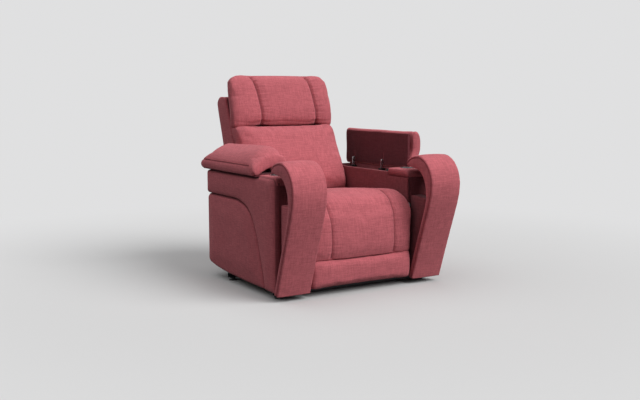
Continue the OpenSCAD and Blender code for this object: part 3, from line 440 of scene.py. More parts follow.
@dataclass
class Shape:
    """A mesh as plain arrays, in drawing millimetres, with a painted-shade value at each point."""

    points: np.ndarray
    faces: list[tuple[int, ...]]
    seam: np.ndarray | None = None

    # The slot in which every mesh keeps its painted-shade values for the cloth's shader.
    SEAM = "seam"

    def mirrored(self) -> "Shape":
        """Returns the shape on the other side of the chair."""
        return Shape(self.points * [-1, 1, 1], [tuple(reversed(f)) for f in self.faces], self.seam)

    def joined(self, other: "Shape") -> "Shape":
        """Returns both shapes as one. Either both or neither have seam values."""
        n = len(self.points)
        seam = None if self.seam is None else np.concatenate([self.seam, other.seam])
        moved = [tuple(i + n for i in face) for face in other.faces]
        return Shape(np.vstack([self.points, other.points]), self.faces + moved, seam)

    def turned(self, pin: tuple[float, float], degrees: float) -> "Shape":
        """Returns the shape turned about a pin that runs along Y, given as x and z."""
        cos, sin = math.cos(math.radians(degrees)), math.sin(math.radians(degrees))
        x, y, z = (self.points - [pin[0], 0, pin[1]]).T
        points = np.column_stack([x * cos + z * sin + pin[0], y, z * cos - x * sin + pin[1]])
        return Shape(points, self.faces, self.seam)

    def object(self, name: str, material: bpy.types.Material) -> bpy.types.Object:
        """Makes the Blender object, in metres, at the origin."""
        mesh = bpy.data.meshes.new(name)
        mesh.from_pydata(row(self.points).tolist(), [], self.faces)
        mesh.update()
        bm = bmesh.new()
        bm.from_mesh(mesh)
        bmesh.ops.recalc_face_normals(bm, faces=bm.faces)
        bm.to_mesh(mesh)
        bm.free()
        made = bpy.data.objects.new(name, mesh)
        bpy.context.scene.collection.objects.link(made)
        dress(made, material, self.seam)
        return made


def dress(obj: bpy.types.Object, material: bpy.types.Material, seam: np.ndarray | None) -> None:
    """Gives an object its painted-shade values, if it has any, its finish and smooth shading.

    Args:
        obj: the object.
        material: its finish.
        seam: the shade painted at each point, from 0 to 1, or None.
    """
    mesh = obj.data
    if seam is not None:
        mesh.attributes.new(Shape.SEAM, "FLOAT", "POINT").data.foreach_set("value", seam.astype(np.float32))
    mesh.materials.clear()
    mesh.materials.append(material)
    for polygon in mesh.polygons:
        polygon.use_smooth = True
    LOG.info("%s: %d faces", obj.name, len(mesh.polygons))


def skinned(rings: np.ndarray, ladder: bool = False) -> Shape:
    """Wraps a grid round rings of points and closes both ends.

    Args:
        rings: an array of rings, points and coordinates.
        ladder: whether an end is closed by a strip between the two halves of its ring. Otherwise
            it is a fan, and the middles of the two fans are the last two points.
    Returns:
        The closed shape, with its points in the rings' order.
    """
    count, size = rings.shape[:2]
    bm = bmesh.new()
    bmesh.ops.create_grid(bm, x_segments=size, y_segments=count - 1, size=1)
    verts = list(bm.verts)
    rows = [verts[start:start + size + 1] for start in range(0, len(verts), size + 1)]
    bmesh.ops.weld_verts(bm, targetmap={line[-1]: line[0] for line in rows})
    at = {vert: j * size + i for j, line in enumerate(rows) for i, vert in enumerate(line[:-1])}
    points = rings.reshape(-1, 3)
    if ladder:
        for line in (rows[0], rows[-1]):
            pairs = [(line[i], line[i + 1]) for i in range(size - 1) if i != size // 2 - 1]
            bmesh.ops.bridge_loops(bm, edges=[bm.edges.get(pair) for pair in pairs])
    else:
        ends = bmesh.ops.holes_fill(bm, edges=bm.edges, sides=0)["faces"]
        for middle in bmesh.ops.poke(bm, faces=ends)["verts"]:
            first = at[middle.link_edges[0].other_vert(middle)] < size
            at[middle] = len(points) + (0 if first else 1)
        points = np.vstack([points, rings[0].mean(axis=0), rings[-1].mean(axis=0)])
    faces = [tuple(at[vert] for vert in face.verts) for face in bm.faces]
    bm.free()
    return Shape(points, faces)


def tube(line: np.ndarray, radius: float, sides: int = 8) -> Shape:
    """Makes a round tube along a line of points in space.

    Args:
        line: the points.
        radius: the tube's radius.
        sides: points on each ring.
    Returns:
        The closed tube.
    """
    turn = np.linspace(0, 2 * math.pi, sides, endpoint=False)[:, None]
    last = len(line) - 1
    rings, side = [], None
    for i, middle in enumerate(line):
        run = line[min(i + 1, last)] - line[max(i - 1, 0)]
        run = run / max(np.linalg.norm(run), 1e-9)
        if side is None:
            side = np.cross(run, [0.0, 0.0, 1.0])
            if np.linalg.norm(side) < 0.2:
                side = np.cross(run, [0.0, 1.0, 0.0])
        side = side - run * (side @ run)
        side = side / max(np.linalg.norm(side), 1e-9)
        rings.append(middle + radius * (np.cos(turn) * side + np.sin(turn) * np.cross(run, side)))
    return skinned(np.array(rings))


def evaluated(obj: bpy.types.Object) -> bpy.types.Mesh:
    """Returns a copy of the object's mesh with its modifiers applied."""
    graph = bpy.context.evaluated_depsgraph_get()
    graph.update()
    return bpy.data.meshes.new_from_object(obj.evaluated_get(graph))


def settle(obj: bpy.types.Object, kind: str, **settings) -> None:
    """Adds one modifier, applies it and keeps the mesh.

    Args:
        obj: the object.
        kind: the modifier's type name.
        settings: the modifier's own properties.
    """
    modifier = obj.modifiers.new(kind.title(), kind)
    for key, value in settings.items():
        setattr(modifier, key, value)
    mesh = evaluated(obj)
    obj.modifiers.clear()
    old = obj.data
    obj.data = mesh
    bpy.data.meshes.remove(old)


def rows_of(mesh: bpy.types.Mesh, kind: str) -> np.ndarray:
    """Returns the co or the normal of every point as rows, as the mesh holds them."""
    out = np.empty(len(mesh.vertices) * 3)
    mesh.vertices.foreach_get(kind, out)
    return out.reshape(-1, 3)


def get_points(mesh: bpy.types.Mesh) -> np.ndarray:
    """Returns the mesh's points in drawing millimetres."""
    return rows_of(mesh, "co") / MM - SHIFT


def set_points(mesh: bpy.types.Mesh, points: np.ndarray) -> None:
    """Writes points in drawing millimetres back to the mesh."""
    mesh.vertices.foreach_set("co", row(points).ravel())
    mesh.update()


def relax(mesh: bpy.types.Mesh, points: np.ndarray, rounds: int, share: float = 0.5) -> np.ndarray:
    """Evens out points by moving each a share of the way to the middle of its neighbours.

    Args:
        mesh: the mesh whose edges join the points.
        points: the points.
        rounds: how often they are moved.
        share: the share of the way.
    Returns:
        The moved points.
    """
    edges = np.empty(len(mesh.edges) * 2, int)
    mesh.edges.foreach_get("vertices", edges)
    edges = edges.reshape(-1, 2)
    count = np.bincount(edges.ravel(), minlength=len(points))[:, None]
    for _ in range(rounds):
        total = np.zeros_like(points)
        np.add.at(total, edges[:, 0], points[edges[:, 1]])
        np.add.at(total, edges[:, 1], points[edges[:, 0]])
        points = points + share * (total / np.maximum(count, 1) - points)
    return points


@dataclass
class Inflation:
    """How a cushion is filled: a short cloth simulation with air pressure, then applied.

    Attributes:
        voxel: size of the remeshed faces.
        cap: how far a point can move at the most.
        pressure: the air's force.
        frames: length of the simulation.
        shrink: how much smaller the cloth wants to be. Below 0, it wants to be larger.
    """

    voxel: float = 7.0
    cap: float = 10.0
    pressure: float = 4.0
    frames: int = 20
    shrink: float = -0.02

    CLOTH = {"quality": 4, "mass": 0.25, "tension_stiffness": 12, "compression_stiffness": 12,
             "shear_stiffness": 4, "bending_stiffness": 0.6, "use_pressure": True}
    # Levels of the hold that the cloth is given, and rounds of evening out after it.
    LEVELS, ROUNDS = 10, 4

    def run(self, obj: bpy.types.Object, hold: Callable[[np.ndarray], np.ndarray], half: float,
            low: float, high: float) -> None:
        """Remeshes the object, lets it swell and fits it to its place.

        Args:
            obj: the closed cushion.
            hold: gives each point's hold, from 0, free, to 1, sewn fast.
            half: half of the finished width.
            low: height of the finished underside.
            high: height of the finished top.
        """
        settle(obj, "REMESH", mode="VOXEL", voxel_size=self.voxel * MM)
        self._swell(obj, hold)
        settle(obj, "SUBSURF", levels=1, render_levels=1)
        points = get_points(obj.data)
        least, most = points.min(axis=0), points.max(axis=0)
        points[:, 0] *= 2 * half / (most[0] - least[0])
        points[:, 2] = low + (points[:, 2] - least[2]) * (high - low) / (most[2] - least[2])
        set_points(obj.data, points)

    def _swell(self, obj: bpy.types.Object, hold: Callable[[np.ndarray], np.ndarray]) -> None:
        """Runs the cloth and keeps a capped, evened share of what it moved."""
        start = get_points(obj.data)
        held = np.clip(hold(start), 0, 1)
        group = obj.vertex_groups.new(name="held")
        for level in range(1, self.LEVELS + 1):
            chosen = np.nonzero(np.round(held * self.LEVELS).astype(int) == level)[0]
            if len(chosen):
                group.add(chosen.tolist(), level / self.LEVELS, "REPLACE")
        cloth = obj.modifiers.new("Cloth", "CLOTH")
        for key, value in self.CLOTH.items():
            setattr(cloth.settings, key, value)
        cloth.settings.uniform_pressure_force = self.pressure
        cloth.settings.shrink_min = self.shrink
        cloth.settings.vertex_group_mass = group.name
        cloth.settings.effector_weights.gravity = 0
        cloth.point_cache.frame_start, cloth.point_cache.frame_end = 1, self.frames
        scene = bpy.context.scene
        for number in range(1, self.frames + 1):
            scene.frame_set(number)
        mesh = evaluated(obj)
        moved = get_points(mesh) - start
        bpy.data.meshes.remove(mesh)
        obj.modifiers.clear()
        obj.vertex_groups.clear()
        scene.frame_set(1)
        size = np.linalg.norm(moved, axis=1, keepdims=True)
        moved *= np.where(size > 1e-6, self.cap * np.tanh(size / self.cap) / np.maximum(size, 1e-6), 0)
        moved *= 1 - held[:, None]
        set_points(obj.data, relax(obj.data, start + moved, self.ROUNDS))
        LOG.info("%s swelled by up to %.1f mm", obj.name, np.abs(moved).max())


def ripples(along: np.ndarray, *waves: tuple[float, float, float]) -> np.ndarray:
    """Adds up sine waves, each given by its height, rate and start."""
    return sum(height * np.sin(along * rate + start) for height, rate, start in waves)


def groove(distance: np.ndarray, deep: float, narrow: float, wide: float, along: np.ndarray | None = None,
           pucker: float = 0.0) -> tuple[np.ndarray, np.ndarray]:
    """Returns the depth of a sewn channel and the shade painted along it.

    Args:
        distance: each point's distance to the seam line.
        deep: depth at the seam.
        narrow: half width of the sharp part.
        wide: half width of the soft part.
        along: place along the seam, for puckers.
        pucker: height of the puckers.
    Returns:
        The depth and the painted shade.
    """
    distance = np.abs(distance)
    sharp = np.exp(-(distance / narrow) ** 2)
    soft = np.exp(-(distance / wide) ** 2)
    depth = deep * (SHARP_SHARE * sharp + (1 - SHARP_SHARE) * soft)
    if along is not None:
        wave = ripples(along, (1.0, 0.23, 1.3), (0.7, 0.41, 0.4), (0.5, 0.11, 2.2))
        depth = depth + pucker * wave * np.exp(-distance / wide) * (1 - sharp)
    return depth, np.exp(-(distance / (narrow * THREAD_SHARE)) ** 2)


@dataclass
class Loft:
    """A padded form carried across the chair between a front and a back curve in Y and Z.

    Attributes:
        rows: front y, front z, back y, back z, how deep the sides round off, and half the width.
        stations: places across as shares of the half width, and the draw at each.
        back_share: how much of the draw the back curve takes.
        inset: how far the start shape lies inside the drawn one.
        corner_low: radius of the corners at the curve's start, seen from the front.
        corner_high: radius of the corners at the curve's end.
    """

    rows: Sequence
    stations: Sequence[tuple[float, float]]
    back_share: float = 0.0
    inset: float = 0.0
    corner_low: float = 0.0
    corner_high: float = 0.0

    # Share of the form's thickness that each side's draw can take at the most.
    MOST = 0.47
    # How evenly the stations lie across: 1 is evenly, 0 is close together at the sides.
    EVEN = 0.6
    # Samples of the two curves and of the stations.
    SAMPLES, STATION_SAMPLES = 400, 90

    @staticmethod
    def _cut(x: float, half: float, radius: float) -> float:
        """Returns how much a rounded corner shortens the curve at one place across.

        Args:
            x: the place.
            half: half of the width.
            radius: the corner's radius, or 0 for none.
        Returns:
            The shortening.
        """
        e = min(max(abs(x) - (half - radius), 0.0), radius)
        return radius - math.sqrt(radius**2 - e**2)

    def shape(self, n_curve: int, n_across: int) -> Shape:
        """Builds the closed form.

        Args:
            n_curve: points along the front curve, and as many along the back curve.
            n_across: stations across.
        Returns:
            The form, with the front curve's points first in each station.
        """
        line = spline(self.rows, self.SAMPLES)
        run = lengths(line[:, :2])
        close = -np.cos(np.linspace(0, math.pi, n_across))
        places = self.EVEN * np.linspace(-1, 1, n_across) + (1 - self.EVEN) * close
        draw = spline(self.stations, self.STATION_SAMPLES)
        half = line[:, 5].max()
        rings = []
        for place in places:
            low, high = (self._cut(place * half, half, radius) + self.inset * 0.5
                         for radius in (self.corner_low, self.corner_high))
            at = sampled(np.linspace(low, run[-1] - high, n_curve), run, line)
            front, back, edge, width = at[:, :2], at[:, 2:4], at[:, 4], at[:, 5]
            length = np.linalg.norm(back - front, axis=1, keepdims=True)
            across = (back - front) / length
            deep = (edge * np.interp(abs(place), draw[:, 0], draw[:, 1]) + self.inset)[:, None]
            back_deep = np.maximum(deep, 0) * self.back_share
            front = front + across * np.minimum(deep, length * self.MOST)
            back = back - across * np.minimum(back_deep, length * self.MOST)
            x = place * (width - self.inset)
            rings.append(np.column_stack([np.concatenate([x, x[::-1]]), np.vstack([front, back[::-1]])]))
        return skinned(np.array(rings), ladder=True)


def fillet(corners: Sequence, radius: float | Sequence[float], steps: int = 5) -> np.ndarray:
    """Rounds the corners of a closed outline.

    Args:
        corners: the outline's corners.
        radius: one radius, or one for each corner.
        steps: points on each rounding.
    Returns:
        The rounded outline.
    """
    p = np.asarray(corners, float)
    radii = np.full(len(p), radius, float) if np.isscalar(radius) else np.asarray(radius, float)
    out = []
    for i, (corner, r) in enumerate(zip(p, radii)):
        before, after = p[i - 1] - corner, p[(i + 1) % len(p)] - corner
        la, lb = np.linalg.norm(before), np.linalg.norm(after)
        bend = math.acos(np.clip(before @ after / (la * lb), -1, 1))
        cut = min(r / max(math.tan(bend / 2), 0.05), 0.45 * la, 0.45 * lb)
        if r < 0.1 or cut < 0.3:
            out.append(corner)
            continue
        a, b = corner + before / la * cut, corner + after / lb * cut
        for t in np.linspace(0, 1, steps):
            out.append((1 - t) ** 2 * a + 2 * t * (1 - t) * corner + t**2 * b)
    return np.array(out)


def divided(line: np.ndarray, step: float) -> np.ndarray:
    """Adds points to a closed outline so that none lie further apart than a step.

    Args:
        line: the outline, which ends before it starts again.
        step: the longest gap.
    Returns:
        The divided outline.
    """
    out = []
    for a, b in zip(line, np.roll(line, -1, axis=0)):
        n = max(1, math.ceil(np.linalg.norm(b - a) / step))
        out += [a + (b - a) * k / n for k in range(n)]
    return np.array(out)


def inside(points: np.ndarray, line: np.ndarray) -> np.ndarray:
    """Says which points lie inside a closed outline.

    Args:
        points: points in the plane.
        line: the outline.
    Returns:
        A truth value for each point.
    """
    x, y = points[:, 0], points[:, 1]
    found = np.zeros(len(points), bool)
    for a, b in zip(line, np.roll(line, -1, axis=0)):
        crosses = (a[1] > y) != (b[1] > y)
        if abs(b[1] - a[1]) > 1e-12:
            found ^= crosses & (x < (b[0] - a[0]) * (y - a[1]) / (b[1] - a[1]) + a[0])
    return found


@dataclass
class Crease:
    """A sewn line on a panel: its places, depth and half width."""

    line: Sequence
    deep: float = 5.0
    narrow: float = 3.5
    wide: float = 14.0


@dataclass
class Panel:
    """A padded panel: an outline in a plane with rounded edges, a soft crown and sewn lines.

    Attributes:
        outline: the closed outline, in the plane's two directions.
        deep: the panel's thickness.
        rounding: radius of the rounded edges.
        crown: how far the middle stands out.
        reach: distance over which the crown rises.
        grid: spacing of the inner points.
        holes: closed outlines left open.
        creases: sewn lines on it.
        flat: a place and radius where the crown stays away.
        rough: height of the slow waves.
        tuck: how much shade is painted on the tucked edge.
    """

    outline: np.ndarray
    deep: float
    rounding: float = 9.0
    crown: float = 0.0
    reach: float = 80.0
    grid: float = 11.0
    holes: Sequence[np.ndarray] = ()
    creases: Sequence[Crease] = ()
    flat: tuple[float, float, float] | None = None
    rough: float = 0.7
    tuck: float = 0.0

    # Rings of points near the edge, as shares of the rounding, and the spacing along the outline.
    RINGS = (0.07, 0.2, 0.42, 0.7, 1.0)
    EDGE_STEP = 7.0
    HOLE_GAP = 2.0

    def _fill(self, points: np.ndarray, loops: list[np.ndarray]) -> tuple[np.ndarray, list, list[int]]:
        """Triangulates points inside the loops, which are the first of the points.

        Args:
            points: the points, of which those of the loops come first.
            loops: the outline and its holes.
        Returns:
            The triangulation's points and triangles, and where each loop point went among them.
        """
        edges, start = [], 0
        for loop in loops:
            n = len(loop)
            edges += [(start + i, start + (i + 1) % n) for i in range(n)]
            start += n
        made = delaunay_2d_cdt([Vector(p) for p in points], edges, [], 0, 1e-4)
        out = np.array([v[:] for v in made[0]])
        place = [0] * start
        for new, olds in enumerate(made[3]):
            for old in olds:
                if old < start:
                    place[old] = new
        tris = np.array(made[2])
        middle = out[tris].mean(axis=1)
        keep = inside(middle, loops[0])
        for hole in loops[1:]:
            keep &= ~inside(middle, hole)
        return out, [tuple(int(v) for v in t) for t in tris[keep]], place

    def _inner(self, line: np.ndarray, holes: list[np.ndarray]) -> np.ndarray:
        """Returns the points inside: rings near the edge and then a grid.

        Args:
            line: the divided outline.
            holes: the divided holes.
        Returns:
            The points.
        """
        rings = [self.rounding * share for share in self.RINGS] + [self.rounding + self.grid * 0.6]
        run = np.roll(line, -1, axis=0) - np.roll(line, 1, axis=0)
        normal = np.stack([-run[:, 1], run[:, 0]], axis=1) / np.linalg.norm(run, axis=1, keepdims=True)
        found = []
        for away in rings:
            for side in (1, -1):
                moved = line + normal * away * side
                real = polyline_distance(moved, looped(line))
                found.append(moved[inside(moved, line) & (np.abs(real - away) < 0.04 * away + 0.02)])
        low, high = line.min(axis=0), line.max(axis=0)
        count = np.maximum(((high - low) / self.grid).astype(int), 1)
        gx, gy = np.meshgrid(*[np.linspace(low[k], high[k], count[k] + 1) for k in (0, 1)])
        gx[::2] += self.grid / 2
        grid = np.stack([gx.ravel(), gy.ravel()], axis=1)
        clear = polyline_distance(grid, looped(line)) > rings[-1] + self.grid * 0.4
        points = np.vstack([*found, grid[inside(grid, line) & clear]])
        for hole in holes:
            away = polyline_distance(points, looped(hole))
            points = points[~inside(points, hole) & (away > self.HOLE_GAP)]
        return points

    def shape(self, place: Callable[[np.ndarray], np.ndarray]) -> Shape:
        """Builds the panel.

        Args:
            place: turns rows of (a, b, height) into drawing coordinates.
        Returns:
            The closed shape.
        """
        loops = [divided(np.asarray(h, float), self.EDGE_STEP) for h in (self.outline, *self.holes)]
        line, border = loops[0], np.vstack(loops)
        front, tris, at = self._fill(np.vstack([border, self._inner(line, loops[1:])]), loops)
        back, back_tris, back_at = self._fill(border, loops)
        away = polyline_distance(front, looped(line))
        t = np.clip(away / self.rounding, 0, 1)
        rise = smooth(away, self.rounding * 0.3, self.reach)
        if self.flat is not None:
            x, y, radius = self.flat
            rise = rise * smooth(np.hypot(front[:, 0] - x, front[:, 1] - y), radius, radius + 25)
        wave = np.sin(front[:, 0] * 0.031 + 0.7) * np.sin(front[:, 1] * 0.027 + 1.9)
        height = self.deep - self.rounding * (1 - np.sqrt(np.clip(1 - (1 - t) ** 2, 0, 1)))
        height = height + (self.crown + self.rough * wave) * rise
        # Shade painted on the tucked edge, and below along the sewn lines.
        seam = self.tuck * np.clip(1.5 - t / 0.3, 0, 1)
        for crease in self.creases:
            away = polyline_distance(front, np.asarray(crease.line, float))
            depth, dark = groove(away, crease.deep, crease.narrow, crease.wide)
            height, seam = height - depth, np.maximum(seam, dark)
        n = len(front)
        points = np.vstack([np.column_stack([front, height]), np.column_stack([back, np.zeros(len(back))])])
        faces = list(tris) + [tuple(reversed([v + n for v in f])) for f in back_tris]
        start = 0
        for loop in loops:
            m = len(loop)
            for i in range(m):
                a, b = start + i, start + (i + 1) % m
                faces.append((at[a], at[b], back_at[b] + n, back_at[a] + n))
            start += m
        # The hidden back face gets full painted shade.
        return Shape(place(points), faces, np.concatenate([seam, np.ones(len(back))]))


def standing(x: float, sign: float = 1.0) -> Callable[[np.ndarray], np.ndarray]:
    """Returns a placing that stands a panel up along Y at an x, soft side out (1) or in (-1)."""
    return lambda p: np.column_stack([x + sign * p[:, 2], p[:, 0], p[:, 1]])


def crossing(y: float, sign: float = 1.0) -> Callable[[np.ndarray], np.ndarray]:
    """Returns a placing that stands a panel up along X at a y, soft side back (1) or front (-1)."""
    return lambda p: np.column_stack([p[:, 0], y + sign * p[:, 2], p[:, 1]])


# The chair's pieces


@dataclass
class Piece:
    """A piece of the scene with what it rides on and what it stands for."""

    name: str
    body: str
    slot: str = "rose_fabric"
    stands_for: Sequence[str] = ()
    fill: float | None = None

    def place(self, obj: bpy.types.Object) -> bpy.types.Object:
        """Gives an object to the frame.

        Args:
            obj: the finished object.
        Returns:
            The same object.
        """
        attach(obj, self.body)
        if self.stands_for:
            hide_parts(*self.stands_for)
        LOG.info("%s rides on %s", self.name, self.body)
        return obj


class Side(Enum):
    """A side of the chair, as the sign of its X in the drawing."""

    LEFT = -1
    RIGHT = 1

    @property
    def word(self) -> str:
        """The side's name in a node."""
        return self.name.lower()

    def apply(self, shape: Shape) -> Shape:
        """Puts a shape drawn for the right arm on this side."""
        return shape if self is Side.RIGHT else shape.mirrored()


@dataclass
class Arm:
    """The upholstered panels of one arm, drawn as the right arm."""

    side: Side
    palette: Palette

    # The curved groove in the arm's side, as y and z from the rear to the foot.
    GROOVE = ((768, 434), (470.8, 434), (399.4, 427.5), (334.1, 408.4), (299.5, 387.1), (268.8, 355),
              (244.2, 312.5), (222, 268.2), (199.7, 204), (178.2, 139.7), (159.7, 78.1), (144.4, 13.0))
    # Half of the gap that the groove leaves, how far the band laps over the rim, and how far the
    # side pad lies inside the band.
    GAP, RIM_LAP, SIDE_STEP = 0.6, 4.5, 5.0
    # The shade painted over a whole panel that lies in shadow.
    SHADE = 0.6
    # The control panel's opening in the left arm, as y and z.
    OPENING = ((63.5, 489.5), (188.5, 489.5), (188.5, 524.5), (63.5, 524.5))
    # Radius round the opening and the cup holder inside which the padding is flat.
    OPENING_FLAT, CUP_FLAT = 75, 47
    # Radius of the deck's rounded front, and how far the deck lies inside the arm's outer face.
    NOSE, DECK_STEP = 26.0, 13.0
    # Thickness of the padding at the rear end and of the panel across the front, and the latter's y.
    REAR_DEEP, FRONT_DEEP, FRONT_Y = 14.0, 12.0, 53.0
    # Inner and outer x of the panel behind the scroll.
    FILLER_IN, FILLER_OUT = 311.0, 432.0

    def build(self) -> None:
        """Makes the arm's panels."""
        self._put("arm_band", self._band(), 0.5)
        self._put("arm_side_pad", self._side_pad(), 0.55)
        # The pad towards the seat takes the rose cloth painted darker for the shadow it lies in.
        self._put("arm_inner_pad", self._inner_pad(), 0.3, "inner_fabric")
        self._put("arm_rear_pad", self._rear_pad(), 0.4)
        self._put("arm_deck", self._deck(), 0.6)
        self._put("scroll_filler", self._filler(), 0.6)

    def _put(self, stem: str, shape: Shape, fill: float, fabric: str = "rose_fabric") -> None:
        """Adds a padded panel that stands for the node of its name.

        Args:
            stem: the node's name without its side.
            shape: the panel, drawn for the right arm.
            fill: how full it is, from 0 to 1. It is not used.
            fabric: its finish.
        """
        name = f"{stem}_{self.side.word}"
        obj = self.side.apply(shape).object(f"{name}_cover", self.palette[fabric])
        Piece(name, "base", stands_for=[name], fill=fill).place(obj)

    def _trim(self, stem: str, shape: Shape) -> None:
        """Adds a panel between the seat and the arm, in the rose cloth painted darker for the shadow there,
        with more shade painted over it.
        """
        shape.seam[:] = self.SHADE
        name = f"{stem}_{self.side.word}"
        Piece(name, "base").place(self.side.apply(shape).object(name, self.palette["inner_fabric"]))

    def _groove(self, shift: float) -> np.ndarray:
        """Returns the groove's line, shifted to one side of it."""
        return spline(self.GROOVE, 60) + [shift, -shift]

    def _band(self) -> Shape:
        """Makes the panel across the arm's front and returns the band ahead of the groove."""
        inner, outer, top = ARM_IN + 2, FRAME_OUT + 16, DECK_LOW + 12
        face = fillet([(inner, FLOOR_GAP + 34), (outer, FLOOR_GAP), (outer, top), (inner, top)], 3)
        front = Panel(face, self.FRONT_DEEP, rounding=4, crown=1.5, reach=50, grid=16)
        # The panel across the front is drawn with painted shade.
        self._trim("arm_front_panel", front.shape(crossing(self.FRONT_Y, -1)))
        line = self._groove(-self.GAP)
        line = line[line[:, 1] > 33][::-1]
        top, rim = DECK_H - 4, RIM_H + self.RIM_LAP
        outline = np.vstack([[[ARM_FRONT, FLOOR_GAP], [line[0][0], 31.5]], line[:-1],
                             [[758, 436.2], [766, 438], [ARM_REAR, 446], [ARM_REAR, 543], [765, 554],
                              [756, rim], [DECK_REAR, rim], [DECK_REAR, top - 3], [DECK_REAR - 4, top],
                              [ARM_FRONT + 22, top], [ARM_FRONT + 8, top - 7], [ARM_FRONT, top - 22]]])
        side = Panel(outline, ARM_OUT - FRAME_OUT, rounding=23, crown=5, reach=70, tuck=1.0)
        return side.shape(standing(FRAME_OUT))

    def _side_pad(self) -> Shape:
        """Returns the rear panel below the groove."""
        line = self._groove(self.GAP)
        line = line[(line[:, 1] > 36) & (line[:, 0] < 757)]
        outline = np.vstack([[[ARM_REAR - 12, 429.5], [ARM_REAR - 4, 431]], line,
                             [[150, 32.5], [315, 33], [443, 38], [523, 41], [604, 46], [687, 55.5],
                              [745, 66], [762, 76], [ARM_REAR, 92], [ARM_REAR + 1, 420]]])
        panel = Panel(outline, ARM_OUT - self.SIDE_STEP - FRAME_OUT, rounding=22, crown=10, reach=95, tuck=1.0)
        return panel.shape(standing(FRAME_OUT))

    def _inner_pad(self) -> Shape:
        """Returns the padding towards the seat, on the left arm with the opening for the controls."""
        outline = fillet([(ARM_FRONT, 60), (ARM_REAR, 105), (ARM_REAR, RIM_H), (DECK_REAR, RIM_H),
                          (DECK_REAR, DECK_LOW), (ARM_FRONT, DECK_LOW)], [4, 6, 4, 2, 2, 4])
        holes = [np.array(self.OPENING)] if self.side is Side.LEFT else []
        panel = Panel(outline, FRAME_IN - ARM_IN, rounding=5, crown=1.5, reach=90, grid=16, holes=holes,
                      flat=(*np.mean(self.OPENING, axis=0), self.OPENING_FLAT))
        return panel.shape(standing(FRAME_IN, -1))

    def _rear_pad(self) -> Shape:
        """Returns the padding of the arm's rear end."""
        outline = fillet([(FRAME_IN, 92), (FRAME_OUT, 92), (FRAME_OUT, RIM_H), (FRAME_IN, RIM_H)], 5)
        panel = Panel(outline, self.REAR_DEEP, rounding=9, crown=7, reach=60, grid=16)
        return panel.shape(crossing(ARM_REAR - self.REAR_DEEP))

    def _deck(self) -> Shape:
        """Returns the padding round the cup holder, rounded down at the front."""
        turn = np.linspace(0, 2 * math.pi, 64, endpoint=False)
        hole = np.column_stack([CUP_X + CUP_RADIUS * np.cos(turn), CUP_Y + CUP_RADIUS * np.sin(turn)])
        outer = ARM_OUT - self.DECK_STEP
        outline = fillet([(ARM_IN, ARM_FRONT), (outer, ARM_FRONT), (outer, DECK_REAR),
                          (ARM_IN, DECK_REAR)], [12, 4, 4, 6])
        panel = Panel(outline, DECK_H - DECK_LOW, rounding=8, crown=0.5, reach=40, grid=8, holes=[hole],
                      flat=(CUP_X, CUP_Y, self.CUP_FLAT), rough=0.3)

        def place(p: np.ndarray) -> np.ndarray:
            """Lays the panel flat and drops its front edge."""
            front = np.clip(ARM_FRONT + self.NOSE - p[:, 1], 0, self.NOSE)
            drop = (self.NOSE - np.sqrt(self.NOSE**2 - front**2)) * (p[:, 2] > 1)
            return np.column_stack([p[:, 0], p[:, 1], DECK_LOW + p[:, 2] - drop])

        return panel.shape(place)

    def _filler(self) -> Shape:
        """Makes the inner half of the panel behind the scroll and returns its outer half."""
        curve = Scroll.curve(200)
        back = curve[:, :2] - curve[:, 3:5] * curve[:, 2:3]
        keep = (curve[:, 1] < 400) & (back[:, 1] > FLOOR_GAP) & (curve[:, 0] > -130)
        back = back[keep] + [0.6, 0]
        outline = np.vstack([[[ARM_FRONT - 0.3, FLOOR_GAP], [back[-1][0], FLOOR_GAP]], back[::-1],
                             [[back[0][0] + 12, 438], [10, 445]],
                             fillet([(22, 446), (39.7, 446), (39.7, 424)], [0, 16, 0])])
        half = (self.FILLER_OUT - self.FILLER_IN) / 2
        panel = Panel(outline, half, rounding=9, crown=2.5, reach=30, grid=10)
        # The inner half is drawn with painted shade.
        self._trim("scroll_filler_inside", panel.shape(standing(self.FILLER_IN + half, -1)))
        return panel.shape(standing(self.FILLER_IN + half))


